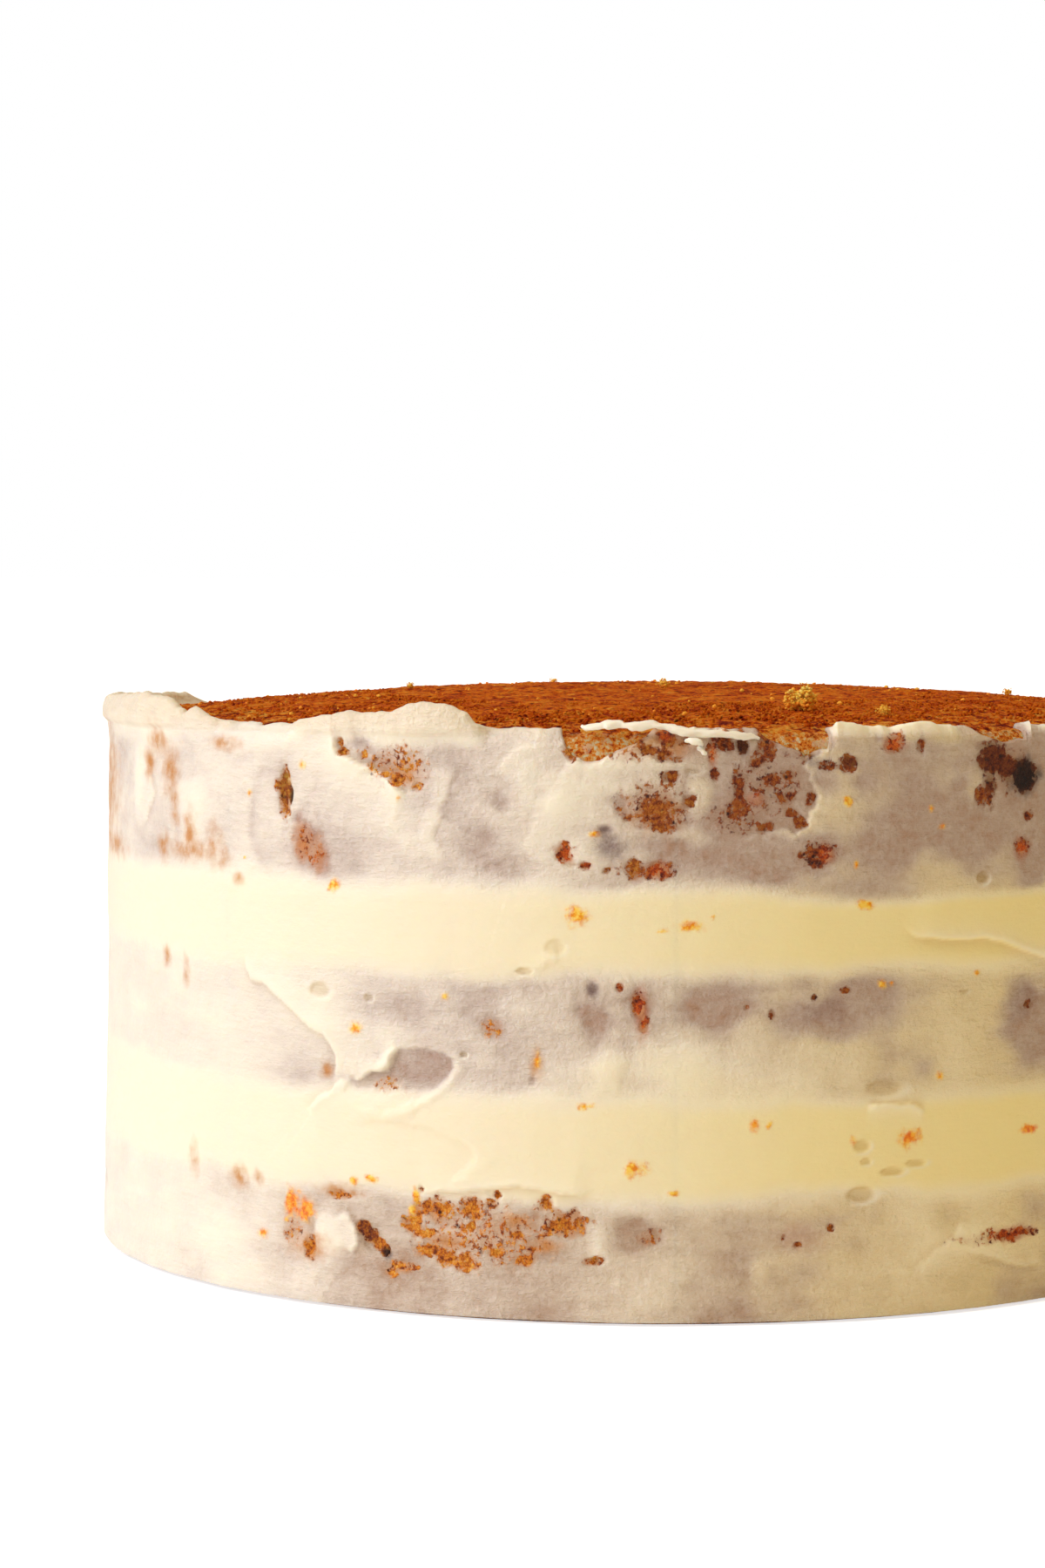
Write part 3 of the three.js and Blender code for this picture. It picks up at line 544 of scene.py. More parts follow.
def lap_height(angle, height, lap):
    """What a stroke's edge adds to the coat, and its painted light: 1 on the bead as a painted highlight, -1
    in the crease below it as painted shade.
    """
    at, middle, flat = flattened(lap["path"])
    across, up = offsets(angle, height, at, middle)
    low, high = np.min(flat, axis=0), np.max(flat, axis=0)
    margin = 2.5 * lap["reach"]
    near = (across > low[0] - margin) & (across < high[0] + margin)
    near &= (up > low[1] - margin) & (up < high[1] + margin)
    away, hand, along = path_distance(across[near], up[near], flat)
    rough = 0.55 * side_noise(21, angle[near], height[near], 2.6)
    rough = rough + 0.3 * side_noise(22, angle[near], height[near], 1.1)
    signed = away * hand + rough * lap.get("ragged", LAP_RAGGED)
    soft = lap.get("soft", LAP_SOFT)
    edge = ease(signed, -soft, soft + 0.1)
    body = np.exp(-np.maximum(signed, 0) / lap["reach"])
    crisp = min(1, 0.3 / soft)
    bead = 0.35 * bell(signed, 2 * soft, soft + 0.35) * min(1, 0.4 / soft)
    groove = 0.2 * bell(signed, -0.9, 0.8) * crisp
    ends = ease(along, 0, 0.14) * ease(along, 1, 0.86)
    result, painted_light = np.zeros((2,) + np.shape(across))
    result[near] = lap["high"] * ends * (edge * (body + bead) - groove)
    # lit and shaded are painted light: a painted highlight on the raised side of the edge, painted shade in
    # the crease below it
    lit = ease(signed, -0.3, 0.5) * np.exp(-np.maximum(signed, 0) / 1.5)
    shaded = ease(signed, 0.3, -0.5) * np.exp(-np.maximum(-signed, 0) / 0.7)
    painted_light[near] = crisp * min(1, lap["high"]) * ends * (lit - shaded)
    return result, painted_light


def scoop_height(angle, height, scoop):
    """What the scooped hollow takes off inside its outline and adds at its rim."""
    at, middle, flat = flattened(scoop["outline"])
    across, up = offsets(angle, height, at, middle)
    near = (np.abs(across) < 40) & (np.abs(up) < 25)
    away, hand, _ = path_distance(across[near], up[near], flat, closed=True)
    inside = -away * hand
    inside = inside + 0.3 * side_noise(24, angle[near], height[near], 1.5)
    floor = -scoop["deep"] * ease(inside, -0.1, 0.7) * (0.3 + 0.7 * ease(up[near], -5, 1))
    rightward = ease(across[near], 2, 14) * 0.75 + 0.25
    rim = scoop["rim"] * rightward * ease(up[near], 7, 2) * bell(inside, -0.8, 0.75)
    result = np.zeros(np.shape(across))
    result[near] = floor + rim
    return result


def dent_height(angle, height, dent):
    """What a dent adds to the coat, and its painted light as for a lap: a painted highlight on its rim,
    painted shade inside it.
    """
    at, middle, wide, high, deep = dent
    across, up = offsets(angle, height, at, middle)
    away = np.hypot(across / (wide / 2), up / (high / 2))
    wall = ease(away, 1.12, 0.55)
    rim = 0.12 * bell(away, 1.25, 0.25)
    # Painted light from the upper left: a painted highlight on the rim's lower right, painted shade on the
    # wall's upper left and over the whole floor
    facing = (across / wide - up / high) * 2 / np.maximum(away, 0.1)
    lit = bell(away, 1.2, 0.25) * ease(facing, -0.2, 1.2)
    shaded = np.maximum(bell(away, 0.8, 0.25) * ease(facing, 0.4, -1), 0.7 * wall)
    return deep * (rim - wall), min(1, 1.6 * deep) * (lit - shaded)


# How many marks of each kind there are away from the front
MORE_STROKES = 34
MORE_HOLLOWS = 26
MORE_CLUSTERS = 64
MORE_CRUMBS = 46
SPONGE_BANDS = [(3, 20), (38, 58), (73, 94)]  # heights where the sponges may be scraped bare
STROKE_STEPS = 5


def strokes_elsewhere():
    """More laps, dents and bare places of the same kind, on the sides away from the front."""
    draw = np.random.default_rng(77)
    laps, dents, bare, veiled, caught = [], [], [], [], []
    for _ in range(MORE_STROKES):
        at, middle = draw.uniform(50, 262), draw.uniform(6, 92)
        heading, bend = draw.uniform(-0.9, 0.9), draw.uniform(-0.35, 0.35)
        stride = draw.uniform(10, 30) / STROKE_STEPS
        flip = draw.choice([0, np.pi])
        path = []
        for step in range(STROKE_STEPS + 1):
            path.append((at, middle))
            way = heading + bend * step + flip
            at += np.degrees(stride * np.cos(way) / CAKE_RADIUS)
            middle = np.clip(middle + stride * np.sin(way), 3, 94)
        laps.append({"path": path, "high": draw.uniform(0.35, 0.85), "reach": draw.uniform(3, 9)})
    for _ in range(MORE_HOLLOWS):
        dents.append((draw.uniform(46, 264), draw.uniform(5, 90), draw.uniform(1.4, 4.5),
                      draw.uniform(1, 2.6), draw.uniform(0.3, 0.7)))
    for _ in range(MORE_CLUSTERS):
        at = draw.uniform(44, 264)
        low, high = SPONGE_BANDS[draw.integers(3)]
        middle = draw.uniform(low, high)
        veiled.append((at, middle, draw.uniform(5, 12), draw.uniform(4, 9)))
        for _ in range(draw.integers(1, 5)):
            near_at = at + draw.normal(0, 2.4)
            near_middle = np.clip(middle + draw.normal(0, 2.2), low, high)
            bare.append((near_at, near_middle, draw.uniform(1.6, 5), draw.uniform(1.4, 4)))
    for _ in range(MORE_CRUMBS):
        size = draw.uniform(0.8, 3)
        caught.append((draw.uniform(46, 264), draw.uniform(5, 92), size * draw.uniform(0.8, 1.6), size))
    return laps, dents, bare, veiled, caught


MORE_LAPS, MORE_DENTS, MORE_BARE, MORE_VEILED, MORE_CAUGHT = strokes_elsewhere()


def lip_crest(angle):
    """Height of the lip's crest over the sponge's edge, ragged."""
    at = wrapped(angle, 0)
    corners, heights = np.array(LIP_CREST).T
    front = np.interp(at, corners, heights)
    film = BACK_FILM + 0.5 * side_noise(31, angle, 0, 14)
    for i in range(RIGHT_FOLDS["count"]):
        middle = RIGHT_FOLDS["first"] + i * RIGHT_FOLDS["step"] + 4 * np.sin(2.7 * i)
        half = RIGHT_FOLDS["half"] + 2.4 * np.sin(1.9 * i)
        peak = RIGHT_FOLDS["high"] + 1.1 * np.sin(2.9 * i + 1)
        away = np.minimum(1, np.abs(wrapped(at, middle)) / half)
        film = np.maximum(film, peak * (1 - away**3))
    inside = (at >= corners[0]) & (at <= corners[-1])
    crest = np.where(inside, front, film)
    ragged = 0.2 * side_noise(32, angle, 0, 2) + 0.06 * side_noise(33, angle, 0, 0.9)
    return crest + ragged * (0.5 + 0.5 * ease(crest, 0, 1))


def over_sponge(angle, height):
    """The coat's mean depth over the sponges."""
    low, middle, high = COAT_OVER_SPONGE
    upper = np.clip((height - middle) / (high - middle), 0, 1)
    lower = np.clip((middle - height) / (middle - low), 0, 1)
    below, amid, above = (by_angle(angle, table) for table in COAT_OVER_SPONGE.values())
    return below * lower + amid * (1 - lower - upper) + above * upper


def spread_cream(angle, height, filling, crest):
    """The cream as it was first spread: its depth, and how much of it is the fillings' cream."""
    at = wrapped(angle, 0)
    root = ease(rim_height(angle) - height + 1.3 * side_noise(45, angle, height, 7, 4), 2.8, 0)
    root = root * (1 - 0.5 * ease(at, 4, 16)) * (1 - 0.6 * ease(at, -34, -46))
    depth = over_sponge(angle, height) + LIP_ROOT * ease(crest, 0.4, 1.6) * root
    depth = depth + (COAT_OVER_FILLING - depth) * filling
    mottle = 0.34 * side_noise(41, angle, height, 13, 9, octaves=2)
    mottle = mottle + 0.07 * side_noise(42, angle, height, 5, 2.4)
    calm = ease(at, 4, 18) * ease(height, 60, 76)
    depth = depth + mottle * (1 - 0.6 * filling) * (1 - 0.5 * calm)
    depth = depth + 0.05 * side_noise(43, angle, height, 22, 1.8) + 0.1 * side_noise(44, angle, height, 6, 15)
    butter = filling
    for spot in SHADED:
        depth = depth - SHADE_DEPTH * cloud(angle, height, spot, 51) * (1 - filling)
    for *spot, more in THICK:
        here = cloud(angle, height, spot, 52)
        depth = depth + more * here * (1 - filling)
        butter = np.maximum(butter, 0.9 * here * ease(more, 0.6, 1.2))
    return depth, butter


def strokes(angle, height):
    """What laps and the scoop add to the cream's depth, what dents add to the radius, and their painted light
    and shade.
    """
    raised, dug, painted_light = np.zeros((3,) + np.shape(height))
    # edge is each mark's painted light: a painted highlight where positive, painted shade where negative
    for lap in LAPS + MORE_LAPS:
        more, edge = lap_height(angle, height, lap)
        raised = raised + more
        painted_light = painted_light + edge
    for dent in DENTS + MORE_DENTS:
        more, edge = dent_height(angle, height, dent)
        dug = dug + COAT_PROUD * more
        painted_light = painted_light + edge
    return raised + scoop_height(angle, height, SCOOP), dug, painted_light


def side_surface(angle, height):
    """The cake's outer surface: its radius, and by name how it is covered.

    cream is the depth of cream in mm, whiter along strokes' edges and dents' rims as a painted highlight,
    butter how much it is the fillings' yellower cream, which by angle is painted light, film is 1 where the
    crumb shows through a last film, brown how brown the crumb is, the painted shade is 1 in the corner under
    an edge and in a dent, torn is 1 where the crumb is bare and more on nuts, and caught is 1 where a crumb
    is caught.
    """
    at = wrapped(angle, 0)
    filling = over_filling(angle, height)
    sponge = 1 - filling
    crest = lip_crest(angle)
    outline = sponge_outline(angle, height)
    outline = outline + (CAKE_RADIUS - outline) * ease(crest, 0, 1.8) + CRUMB_CLEAR
    relief = crumb_relief(angle, height)

    depth, butter = spread_cream(angle, height, filling, crest)
    raised, dug, painted_light = strokes(angle, height)
    veil = blots(angle, height, VEILED + MORE_VEILED, 0.4, 53)
    film = blots(angle, height, FILMED, 0.34, 55, soft=1.1)
    caught = blots(angle, height, CAUGHT + MORE_CAUGHT, 0.6, 57)
    torn = blots(angle, height, BARE + MORE_BARE, 0.5, 54)
    torn = np.maximum(torn, SHARE_PITTED * blots(angle, height, PITTED, 0.4, 56))
    torn = np.maximum(torn, SHARE_SOLID * blots(angle, height, SOLID, 0.3, 58, soft=0.6))
    depth = depth + raised
    veiled = 0.7 * veil * sponge * np.maximum(depth - VEIL_CREAM, 0)
    depth = np.maximum(depth, LEAST_CREAM) - veiled
    depth = depth - np.minimum(torn, 1) * (depth + 0.1)

    crumb = outline + relief * sponge
    cream = outline + COAT_PROUD * depth + dug
    radius = np.maximum(cream, crumb) + 0.06 * bell(cream, crumb, 0.15)
    radius = radius + caught * (0.12 + 0.2 * np.maximum(relief, -0.1))
    aside = np.clip(np.abs(wrapped(angle, SLUMP["at"])) / SLUMP["half"], 0, 1)
    slump = SLUMP["high"] * (1 - ease(aside, 0, 1)) * (1 - ease(height, 0, SLUMP["top"]))

    seen = depth - np.maximum(relief, -0.06) * sponge * (1 - 0.7 * ease(depth, 0.2, 1))
    even = 0.35 * ease(at, 0, 18) * ease(at, 70, 50) * sponge
    seen = seen + even * (0.45 - seen) + (FILLING_CREAM - COAT_OVER_FILLING) * filling
    # Painted light: the yellow of the fillings and of thick cream by angle, whiter on the lit left, yellower
    # on the shaded right
    yellow_with_painted_light = by_angle(angle, BUTTER_WITH_PAINTED_LIGHT)
    rich = 0.6 * ease(depth, 0.3, 0.95) * yellow_with_painted_light**2.5
    brown = ease(at, -17, 8) * (0.55 + 0.45 * ease(height, 20, 60))
    for spot in CARROTS:
        brown = brown * (1 - inclusion(angle, height, spot))
    # Painted light: bead is a painted highlight that whitens the cream along strokes' edges and dents' rims,
    # and the painted shade darkens the creases and dents
    bead = 0.7 * np.clip(painted_light, 0, 1)
    cover = {
        "cream": seen + bead,
        "butter": np.maximum(butter * yellow_with_painted_light, rich) * (1 - bead),
        "painted_shade": np.clip(-painted_light, 0, 1),
        "film": film,
        "brown": brown,
        "torn": torn,
        "caught": caught,
    }
    return radius + slump, cover


# Tints of what lies in the crumb
UNDER = {
    "carrot": (0.86, 0.42, 0.24), "date": (0.06, 0.04, 0.05), "pink": (0.84, 0.6, 0.5), "zest": (1, 0.6, 0.2),
    "raisin": (0.26, 0.2, 0.22), "walnut": (0.5, 0.38, 0.16), "shade": (0.76, 0.68, 0.64),
}
UNDER_SPREAD = 1.3  # how much larger a piece looks through the cream
WARM_RIGHT = (1, 0.93, 0.76)  # what thin cream is tinted with to the right and low down


def inclusion(angle, height, spot):
    """1 inside something that lies in the crumb, 0 outside."""
    return blot(angle, height, spot, 0.3, 61, 0.6)


def under_colour(angle, height):
    """Tint of what lies under the cream: plain crumb, or one of the kinds above."""
    warm = 0.6 * ease(wrapped(angle, 0), -22, 22) + 0.8 * ease(height, 34, 16)
    tint = 1 - np.clip(warm, 0, 1)[..., None] * (1 - np.array(WARM_RIGHT))
    for kind, spots in INCLUSIONS:
        for at, middle, wide, high in spots:
            spot = at, middle, UNDER_SPREAD * wide, UNDER_SPREAD * high
            tint = tint + (np.array(UNDER[kind]) - tint) * inclusion(angle, height, spot)[..., None]
    return np.concatenate([tint, np.ones(np.shape(angle) + (1,))], axis=-1)


# ---- the coat's mesh


def through(points, count):
    """Catmull-Rom curve through points (list of arrays), from the second to the last but one."""
    steps = np.linspace(1, len(points) - 2 - 1e-6, count)
    curve = []
    for step in steps:
        i = int(step)
        t = step - i
        before, start, end, after = points[i - 1], points[i], points[i + 1], points[i + 2]
        curve.append(
            0.5 * (2 * start + (end - before) * t + (2 * before - 5 * start + 4 * end - after) * t**2
                   + (3 * start - before - 3 * end + after) * t**3)
        )
    return curve


# How the coat's last rows go where there is no lip: over the shoulder, as shares of a quarter turn and
# depths over the sponge, and where the coat is torn off, as heights over its last row and such depths
FILM_ROWS = [
    (0.5, 0.8), (0.62, 0.75), (0.74, 0.7), (0.86, 0.6), (0.96, 0.4), (1.03, 0.05), (1.1, -0.5), (1.2, -1.4),
]
TORN_ROWS = [
    (0.3, 0.75), (0.5, 0.45), (0.55, 0.1), (0.45, -0.3), (0.2, -0.8), (-0.2, -1.3), (-0.8, -1.8),
    (-1.6, -2.4),
]


def lip_profile(angle, low_radius, radius, height, crest):
    """The lip's rows over the side's last row: lists of radii and heights."""
    rim = rim_height(angle)
    smooth = np.mean([lip_crest(angle + turn) for turn in np.linspace(-1.5, 1.5, 9)], axis=0)
    thick = LIP_THICK + LIP_WIDENS * np.maximum(smooth, 0)
    overhang = LIP_OVERHANG * np.maximum(smooth - LEANS_FROM, 0)
    out = radius + overhang
    foot = out - thick - 1.3
    lip = [
        (out - 0.15 * overhang, rim + 0.12 * crest),
        (out - 0.18 * thick, rim + 0.8 * crest),
        (out - 0.5 * thick, rim + crest),
        (out - 0.8 * thick, rim + 0.86 * crest),
        (out - 1.02 * thick, rim + 0.5 * crest),
        (foot, crust_height(angle, foot) + 0.1),
        (foot - 1, crust_height(angle, foot - 1) - 0.9),
        (foot - 1.4, crust_height(angle, foot - 1) - 2),
    ]
    low, rise = shoulder(angle)
    raised = ease(crest, 0.3, 1.6)
    below = ease(crest, 0.1, -0.5)
    points = [np.array([low_radius, height - 1]), np.array([radius, height])]
    for row, (share, over), (up, cover) in zip(lip, FILM_ROWS, TORN_ROWS):
        turn = share * np.pi / 2
        across = CAKE_RADIUS - SHOULDER + (SHOULDER + over) * np.cos(turn) + 0 * angle
        film = np.array([across, low + (rise + over) * np.sin(turn)])
        torn = np.array([sponge_outline(angle, height) + cover, height + up])
        flat = film * (1 - raised) + np.array(row) * raised
        points.append(flat * (1 - below) + torn * below)
    return through(points, LIP_ROWS + 1)[1:]


def lip_cover(angle, cover, crest):
    """How the lip's rows are covered, going on from the side's last row."""
    over = np.linspace(0, 1, LIP_ROWS)[:, None]
    raised = ease(crest, 0.2, 1.2) * ease(over, -0.1, 0.25)
    depth = cover["cream"][-1]
    full = LIP_CREAM * (0.5 + 0.5 * ease(wrapped(angle, 0), -18, 0))
    depth = depth + (full - depth) * raised
    result = {key: values[-1] * (1 - raised) for key, values in cover.items()}
    result["cream"] = depth * (1 - 0.4 * ease(crest, 0.2, -0.4) * over)
    result["butter"] = result["butter"] + LIP_BUTTER * raised
    return result


def coat_sheet(name, first, last, columns, material):
    """One stretch of the coat, from the foot of the side over the lip to under the crust.

    One column more is worked out at either end, so that the stretches' shading runs on.
    """
    step = (last - first) / columns
    angle = np.linspace(first - step, last + step, columns + 3)
    crest = lip_crest(angle)
    rim = rim_height(angle)
    side_top = rim + np.minimum(np.where(crest > 0, -LIP_START, crest - TORN_START), -0.7)
    share = np.linspace(0, 1, COAT_ROWS - LIP_ROWS + 1)[:, None]
    lower = COAT_FOOT + share / SKIRT_SHARE * (SKIRT_FOOT - COAT_FOOT)
    upper = SKIRT_FOOT + (share - SKIRT_SHARE) / (1 - SKIRT_SHARE) * (side_top - SKIRT_FOOT)
    height = np.where(share < SKIRT_SHARE, lower, upper)
    radius, cover = side_surface(np.broadcast_to(angle, height.shape), height)
    lip = lip_profile(angle, radius[-2], radius[-1], height[-1], crest)
    over_lip = lip_cover(angle, cover, crest)

    radius = np.vstack([radius] + [row[0] for row in lip])
    height = np.vstack([height] + [row[1] for row in lip])
    angles = np.broadcast_to(angle, height.shape)
    along = np.vstack([np.zeros((len(share), 1)), np.linspace(0, 1, LIP_ROWS)[:, None]])
    wobble = 0.12 * side_noise(35, angles, height, 2.4) + 0.1 * side_noise(36, angles, height, 6, 3)
    radius = radius + wobble * ease(along, 0, 0.2)
    rough = 0.24 * side_noise(37, angles, height, 3) + 0.16 * side_noise(38, angles, height, 1.2)
    height = height + rough * ease(along, 0.1, 0.4) * ease(along, 1, 0.8)

    x, y = on_side(angles, radius)
    grid = np.stack([x, y, height], axis=-1)
    facing = np.cross(np.gradient(grid, axis=1), np.gradient(grid, axis=0))
    facing = facing / np.linalg.norm(facing, axis=-1, keepdims=True)
    piece = sheet_mesh(name, grid[:, 1:-1], material)
    piece.data.normals_split_custom_set_from_vertices(facing[:, 1:-1].reshape(-1, 3))
    for key, values in cover.items():
        store(piece, key, np.vstack([values, over_lip[key]])[:, 1:-1])
    store(piece, "under", under_colour(angles, height)[:, 1:-1])
    return piece


# ---- meshes


def store(piece, name, values):
    """Keeps one number or one colour for each vertex."""
    colour = values.shape[-1] == 4 and values.size == 4 * len(piece.data.vertices)
    kind, key = ("FLOAT_COLOR", "color") if colour else ("FLOAT", "value")
    attribute = piece.data.attributes.new(name, kind, "POINT")
    attribute.data.foreach_set(key, values.astype(np.float32).ravel())


def link(name, mesh, material):
    """An object of a mesh with one material, in the scene."""
    piece = bpy.data.objects.new(name, mesh)
    mesh.materials.append(material)
    bpy.context.scene.collection.objects.link(piece)
    return piece


def mesh_from(name, points, faces, material, uv=None):
    """A smooth mesh from points in mm and faces, all with the same number of corners."""
    faces = np.asarray(faces, np.int32)
    corners = faces.shape[1]
    mesh = bpy.data.meshes.new(name)
    mesh.vertices.add(len(points))
    mesh.vertices.foreach_set("co", (np.asarray(points, float) * MM).ravel())
    mesh.loops.add(faces.size)
    mesh.loops.foreach_set("vertex_index", faces.ravel())
    mesh.polygons.add(len(faces))
    mesh.polygons.foreach_set("loop_start", np.arange(len(faces), dtype=np.int32) * corners)
    mesh.polygons.foreach_set("use_smooth", np.ones(len(faces), bool))
    if uv is not None:
        layer = mesh.uv_layers.new(name="OFBake")
        layer.data.foreach_set("uv", uv.astype(np.float32).ravel())
    mesh.update(calc_edges=True)
    mesh.validate()
    return link(name, mesh, material)


UV_MARGIN = 0.006  # free border of a strip, as a share


def sheet_mesh(name, grid, material, strips=1):
    """A mesh of quads over a grid of points, laid out for baking as strips one above the other."""
    rows, columns = grid.shape[:2]
    index = np.arange(rows * columns).reshape(rows, columns)
    faces = np.stack([index[:-1, :-1], index[:-1, 1:], index[1:, 1:], index[1:, :-1]], axis=-1)
    row, column = np.mgrid[0:rows - 1, 0:columns - 1]
    per_strip = -(-(columns - 1) // strips)
    strip = column // per_strip
    corners = []
    for up, right in ((0, 0), (0, 1), (1, 1), (1, 0)):
        across = (column - strip * per_strip + right) / per_strip
        rise = (row + up) / (rows - 1)
        u = UV_MARGIN + (1 - 2 * UV_MARGIN) * across
        v = (strip + UV_MARGIN * 2 + (1 - 4 * UV_MARGIN) * rise) / strips
        corners.append(np.stack([u, v], axis=-1))
    uv = np.stack(corners, axis=2).reshape(-1, 2)
    return mesh_from(name, grid.reshape(-1, 3), faces.reshape(-1, 4), material, uv)


def crust_relief(x, y):
    """The baked crust's small bumps and pits."""
    fine, middling, slow = Noise(71), Noise(72), Noise(73)
    bumps = 0.22 * fine(x / 1.6, y / 1.6, 0.5) + 0.3 * middling(x / 3.1, y / 3.1, 0.5)
    bumps = bumps + 0.3 * slow(x / 15, y / 15, 0.5)
    pits = 0.45 * ease(middling(x / 2.2, y / 2.2, 7.5), 0.38, 0.8)
    return bumps - pits


def dome(material):
    """The top sponge as it shows: its torn side, rounded edge and crust."""
    angle = np.linspace(0, 360, DOME_COLUMNS + 1)
    start, rise = shoulder(angle)
    rows = []  # radius, height, and how much a row is torn crumb
    for row in range(SKIRT_ROWS):
        rows.append((CAKE_RADIUS, SKIRT_FOOT + (start - SKIRT_FOOT) * row / SKIRT_ROWS, 1))
    for row in range(DOME_TURN_ROWS):
        quarter = row / DOME_TURN_ROWS * np.pi / 2
        radius = CAKE_RADIUS - SHOULDER + SHOULDER * np.cos(quarter)
        rows.append((radius, start + rise * np.sin(quarter), np.cos(quarter)))
    for row in range(DOME_RINGS + 1):
        radius = (CAKE_RADIUS - SHOULDER) * (1 - (row / DOME_RINGS) ** DOME_CROWDING)
        rows.append((radius, crust_height(angle, radius), 0))
    radius, height, crumb = np.stack([np.broadcast_arrays(*row, angle)[:3] for row in rows], axis=1)
    angles = np.broadcast_to(angle, radius.shape)
    x, y = on_side(angles, radius)
    relief = crumb_relief(angles, height)
    out = crumb * (CRUMB_CLEAR - SKIRT_UNDER + relief)
    up = (1 - crumb) * crust_relief(x, y) + crumb * (1 - crumb) * relief
    fade = ease(radius, 0, 4)
    x, y = on_side(angles, radius + out)
    piece = sheet_mesh("crust", np.stack([x, y, height + up * fade], axis=-1), material, strips=2)
    store(piece, "side", crumb)
    store(piece, "rim", ease(radius, 72, 98))
    return piece


def lump_shape():
    """Points and faces of a small ball."""
    shape = bmesh.new()
    bmesh.ops.create_icosphere(shape, subdivisions=1, radius=1)
    points = np.array([vertex.co[:] for vertex in shape.verts])
    faces = np.array([[vertex.index for vertex in face.verts] for face in shape.faces])
    shape.free()
    return points, faces


def lumps(name, items, material, seed):
    """Many uneven lumps in one mesh; an item is a middle, three half sizes and a turn about the upright."""
    ball, triangles = lump_shape()
    draw = np.random.default_rng(seed)
    noise = Noise(seed)
    points, faces = [], []
    for middle, halves, turn in items:
        shift = draw.uniform(0, 90, 3)
        bumps = 1 + 0.35 * noise(*(ball * 1.7 + shift).T) + 0.2 * noise(*(ball * 4 + shift).T)
        bumps = bumps + 0.12 * noise(*(ball * 9 + shift).T)
        local = ball * bumps[:, None] * np.array(halves)
        spin = np.array(Euler((draw.uniform(-0.4, 0.4), draw.uniform(-0.4, 0.4), 0)).to_matrix())
        heading = np.array(Euler((0, 0, turn)).to_matrix())
        faces.append(triangles + len(ball) * len(points))
        points.append(local @ spin.T @ heading.T + np.array(middle))
    return mesh_from(name, np.concatenate(points), np.concatenate(faces), material)


def crust_grains(material):
    """The crust's own grains, which stand up from it."""
    draw = np.random.default_rng(23)
    grains = []
    for _ in range(CRUST_GRAINS):
        inner = 1 - draw.random() ** 0.5 * 0.75
        angle = draw.normal(0, GRAIN_SPREAD)
        radius = (CAKE_RADIUS - 1.5) * np.sqrt(inner)
        x, y = on_side(angle, radius)
        size = draw.uniform(*GRAIN_SIZES) * (0.45 + 0.55 * ease(radius, 55, 95))
        grains.append(((x, y, crust_height(angle, radius) + 0.05), (size, size, 0.7 * size), 0))
    return lumps("crust_grains", grains, material, seed=24)


def loose_crumbs(material):
    """Crumbs lying on the crust: a few made up of many grains, and the finest ones strewn about."""
    draw = np.random.default_rng(16)
    grains, tones_and_painted_light = [], []
    for x, y, size in CRUMBS:
        ground = crust_height(np.degrees(np.arctan2(x, -y)), np.hypot(x, y))
        centre = np.array([x, y, ground + 0.34 * size])
        lumpy = np.array([1, 0.75, 0.8]) * size / 2
        grains.append((centre, 0.72 * lumpy, 0))
        tones_and_painted_light.append(0.85)
        for _ in range(int(26 * size**1.7)):
            way = draw.normal(size=3)
            way = way / np.linalg.norm(way) * draw.uniform(0.6, 1)
            way = way * lumpy * (1 + 0.25 * np.sin(6 * way[0] + x))
            grain = size * draw.uniform(0.035, 0.085)
            if centre[2] + way[2] > ground:
                grains.append((centre + way, (grain, grain, 0.85 * grain), draw.uniform(0, 6)))
                # Grains higher on a crumb get lighter tints and lower ones darker: painted light and shade,
                # with some random tone
                tones_and_painted_light.append(0.62 + 0.25 * way[2] / lumpy[2] + draw.uniform(-0.3, 0.3))
    for _ in range(STREWN):
        radius = CAKE_RADIUS * np.sqrt(draw.uniform(0, 0.88))
        angle = draw.uniform(0, 360)
        x, y = on_side(angle, radius)
        grain = draw.uniform(*STREWN_SIZES) * draw.choice([1, 1, 1.5])
        middle = (x, y, crust_height(angle, radius) + 0.35 * grain)
        grains.append((middle, (grain, grain, 0.8 * grain), 0))
        tones_and_painted_light.append(draw.uniform(0, 0.7))
    piece = lumps("loose_crumbs", grains, material, seed=16)
    store(piece, "tint", np.repeat(tones_and_painted_light, len(piece.data.vertices) // len(tones_and_painted_light)))
    return piece


# The strip of lip that has come away from the side and lies on the crust: angle, radius, height
# over the crust, half width and half height
STRIP = [
    (-6.9, 99.3, 1.1, 0.3, 0.2), (-6.3, 99.8, 1, 0.6, 0.5), (-5.4, 100.2, 1.1, 0.7, 0.5),
    (-4.2, 100.3, 1.4, 0.7, 0.75), (-2.6, 100.2, 1.5, 0.6, 0.55), (-1, 100.4, 1.4, 0.7, 0.7),
    (0.6, 100.3, 1.1, 0.7, 0.55), (2.2, 100.6, 0.7, 0.8, 0.75), (4.2, 100.8, 0.3, 0.8, 0.7),
    (6.4, 100.8, 0, 0.8, 0.6), (8.4, 100.4, -0.3, 0.6, 0.5), (9.8, 99.8, -0.8, 0.4, 0.3),
]
# The fleck that hangs from it: angle, radius, height and half size
HOOK = [
    (2.9, 102.3, 96.7, 0.3), (3.3, 102.7, 96.5, 0.6), (3.9, 102.9, 96.1, 0.8), (4.05, 102.9, 95.4, 0.55),
    (3.9, 102.8, 94.9, 0.4), (4.3, 102.7, 94.4, 0.45), (4.7, 102.6, 94.3, 0.2),
]


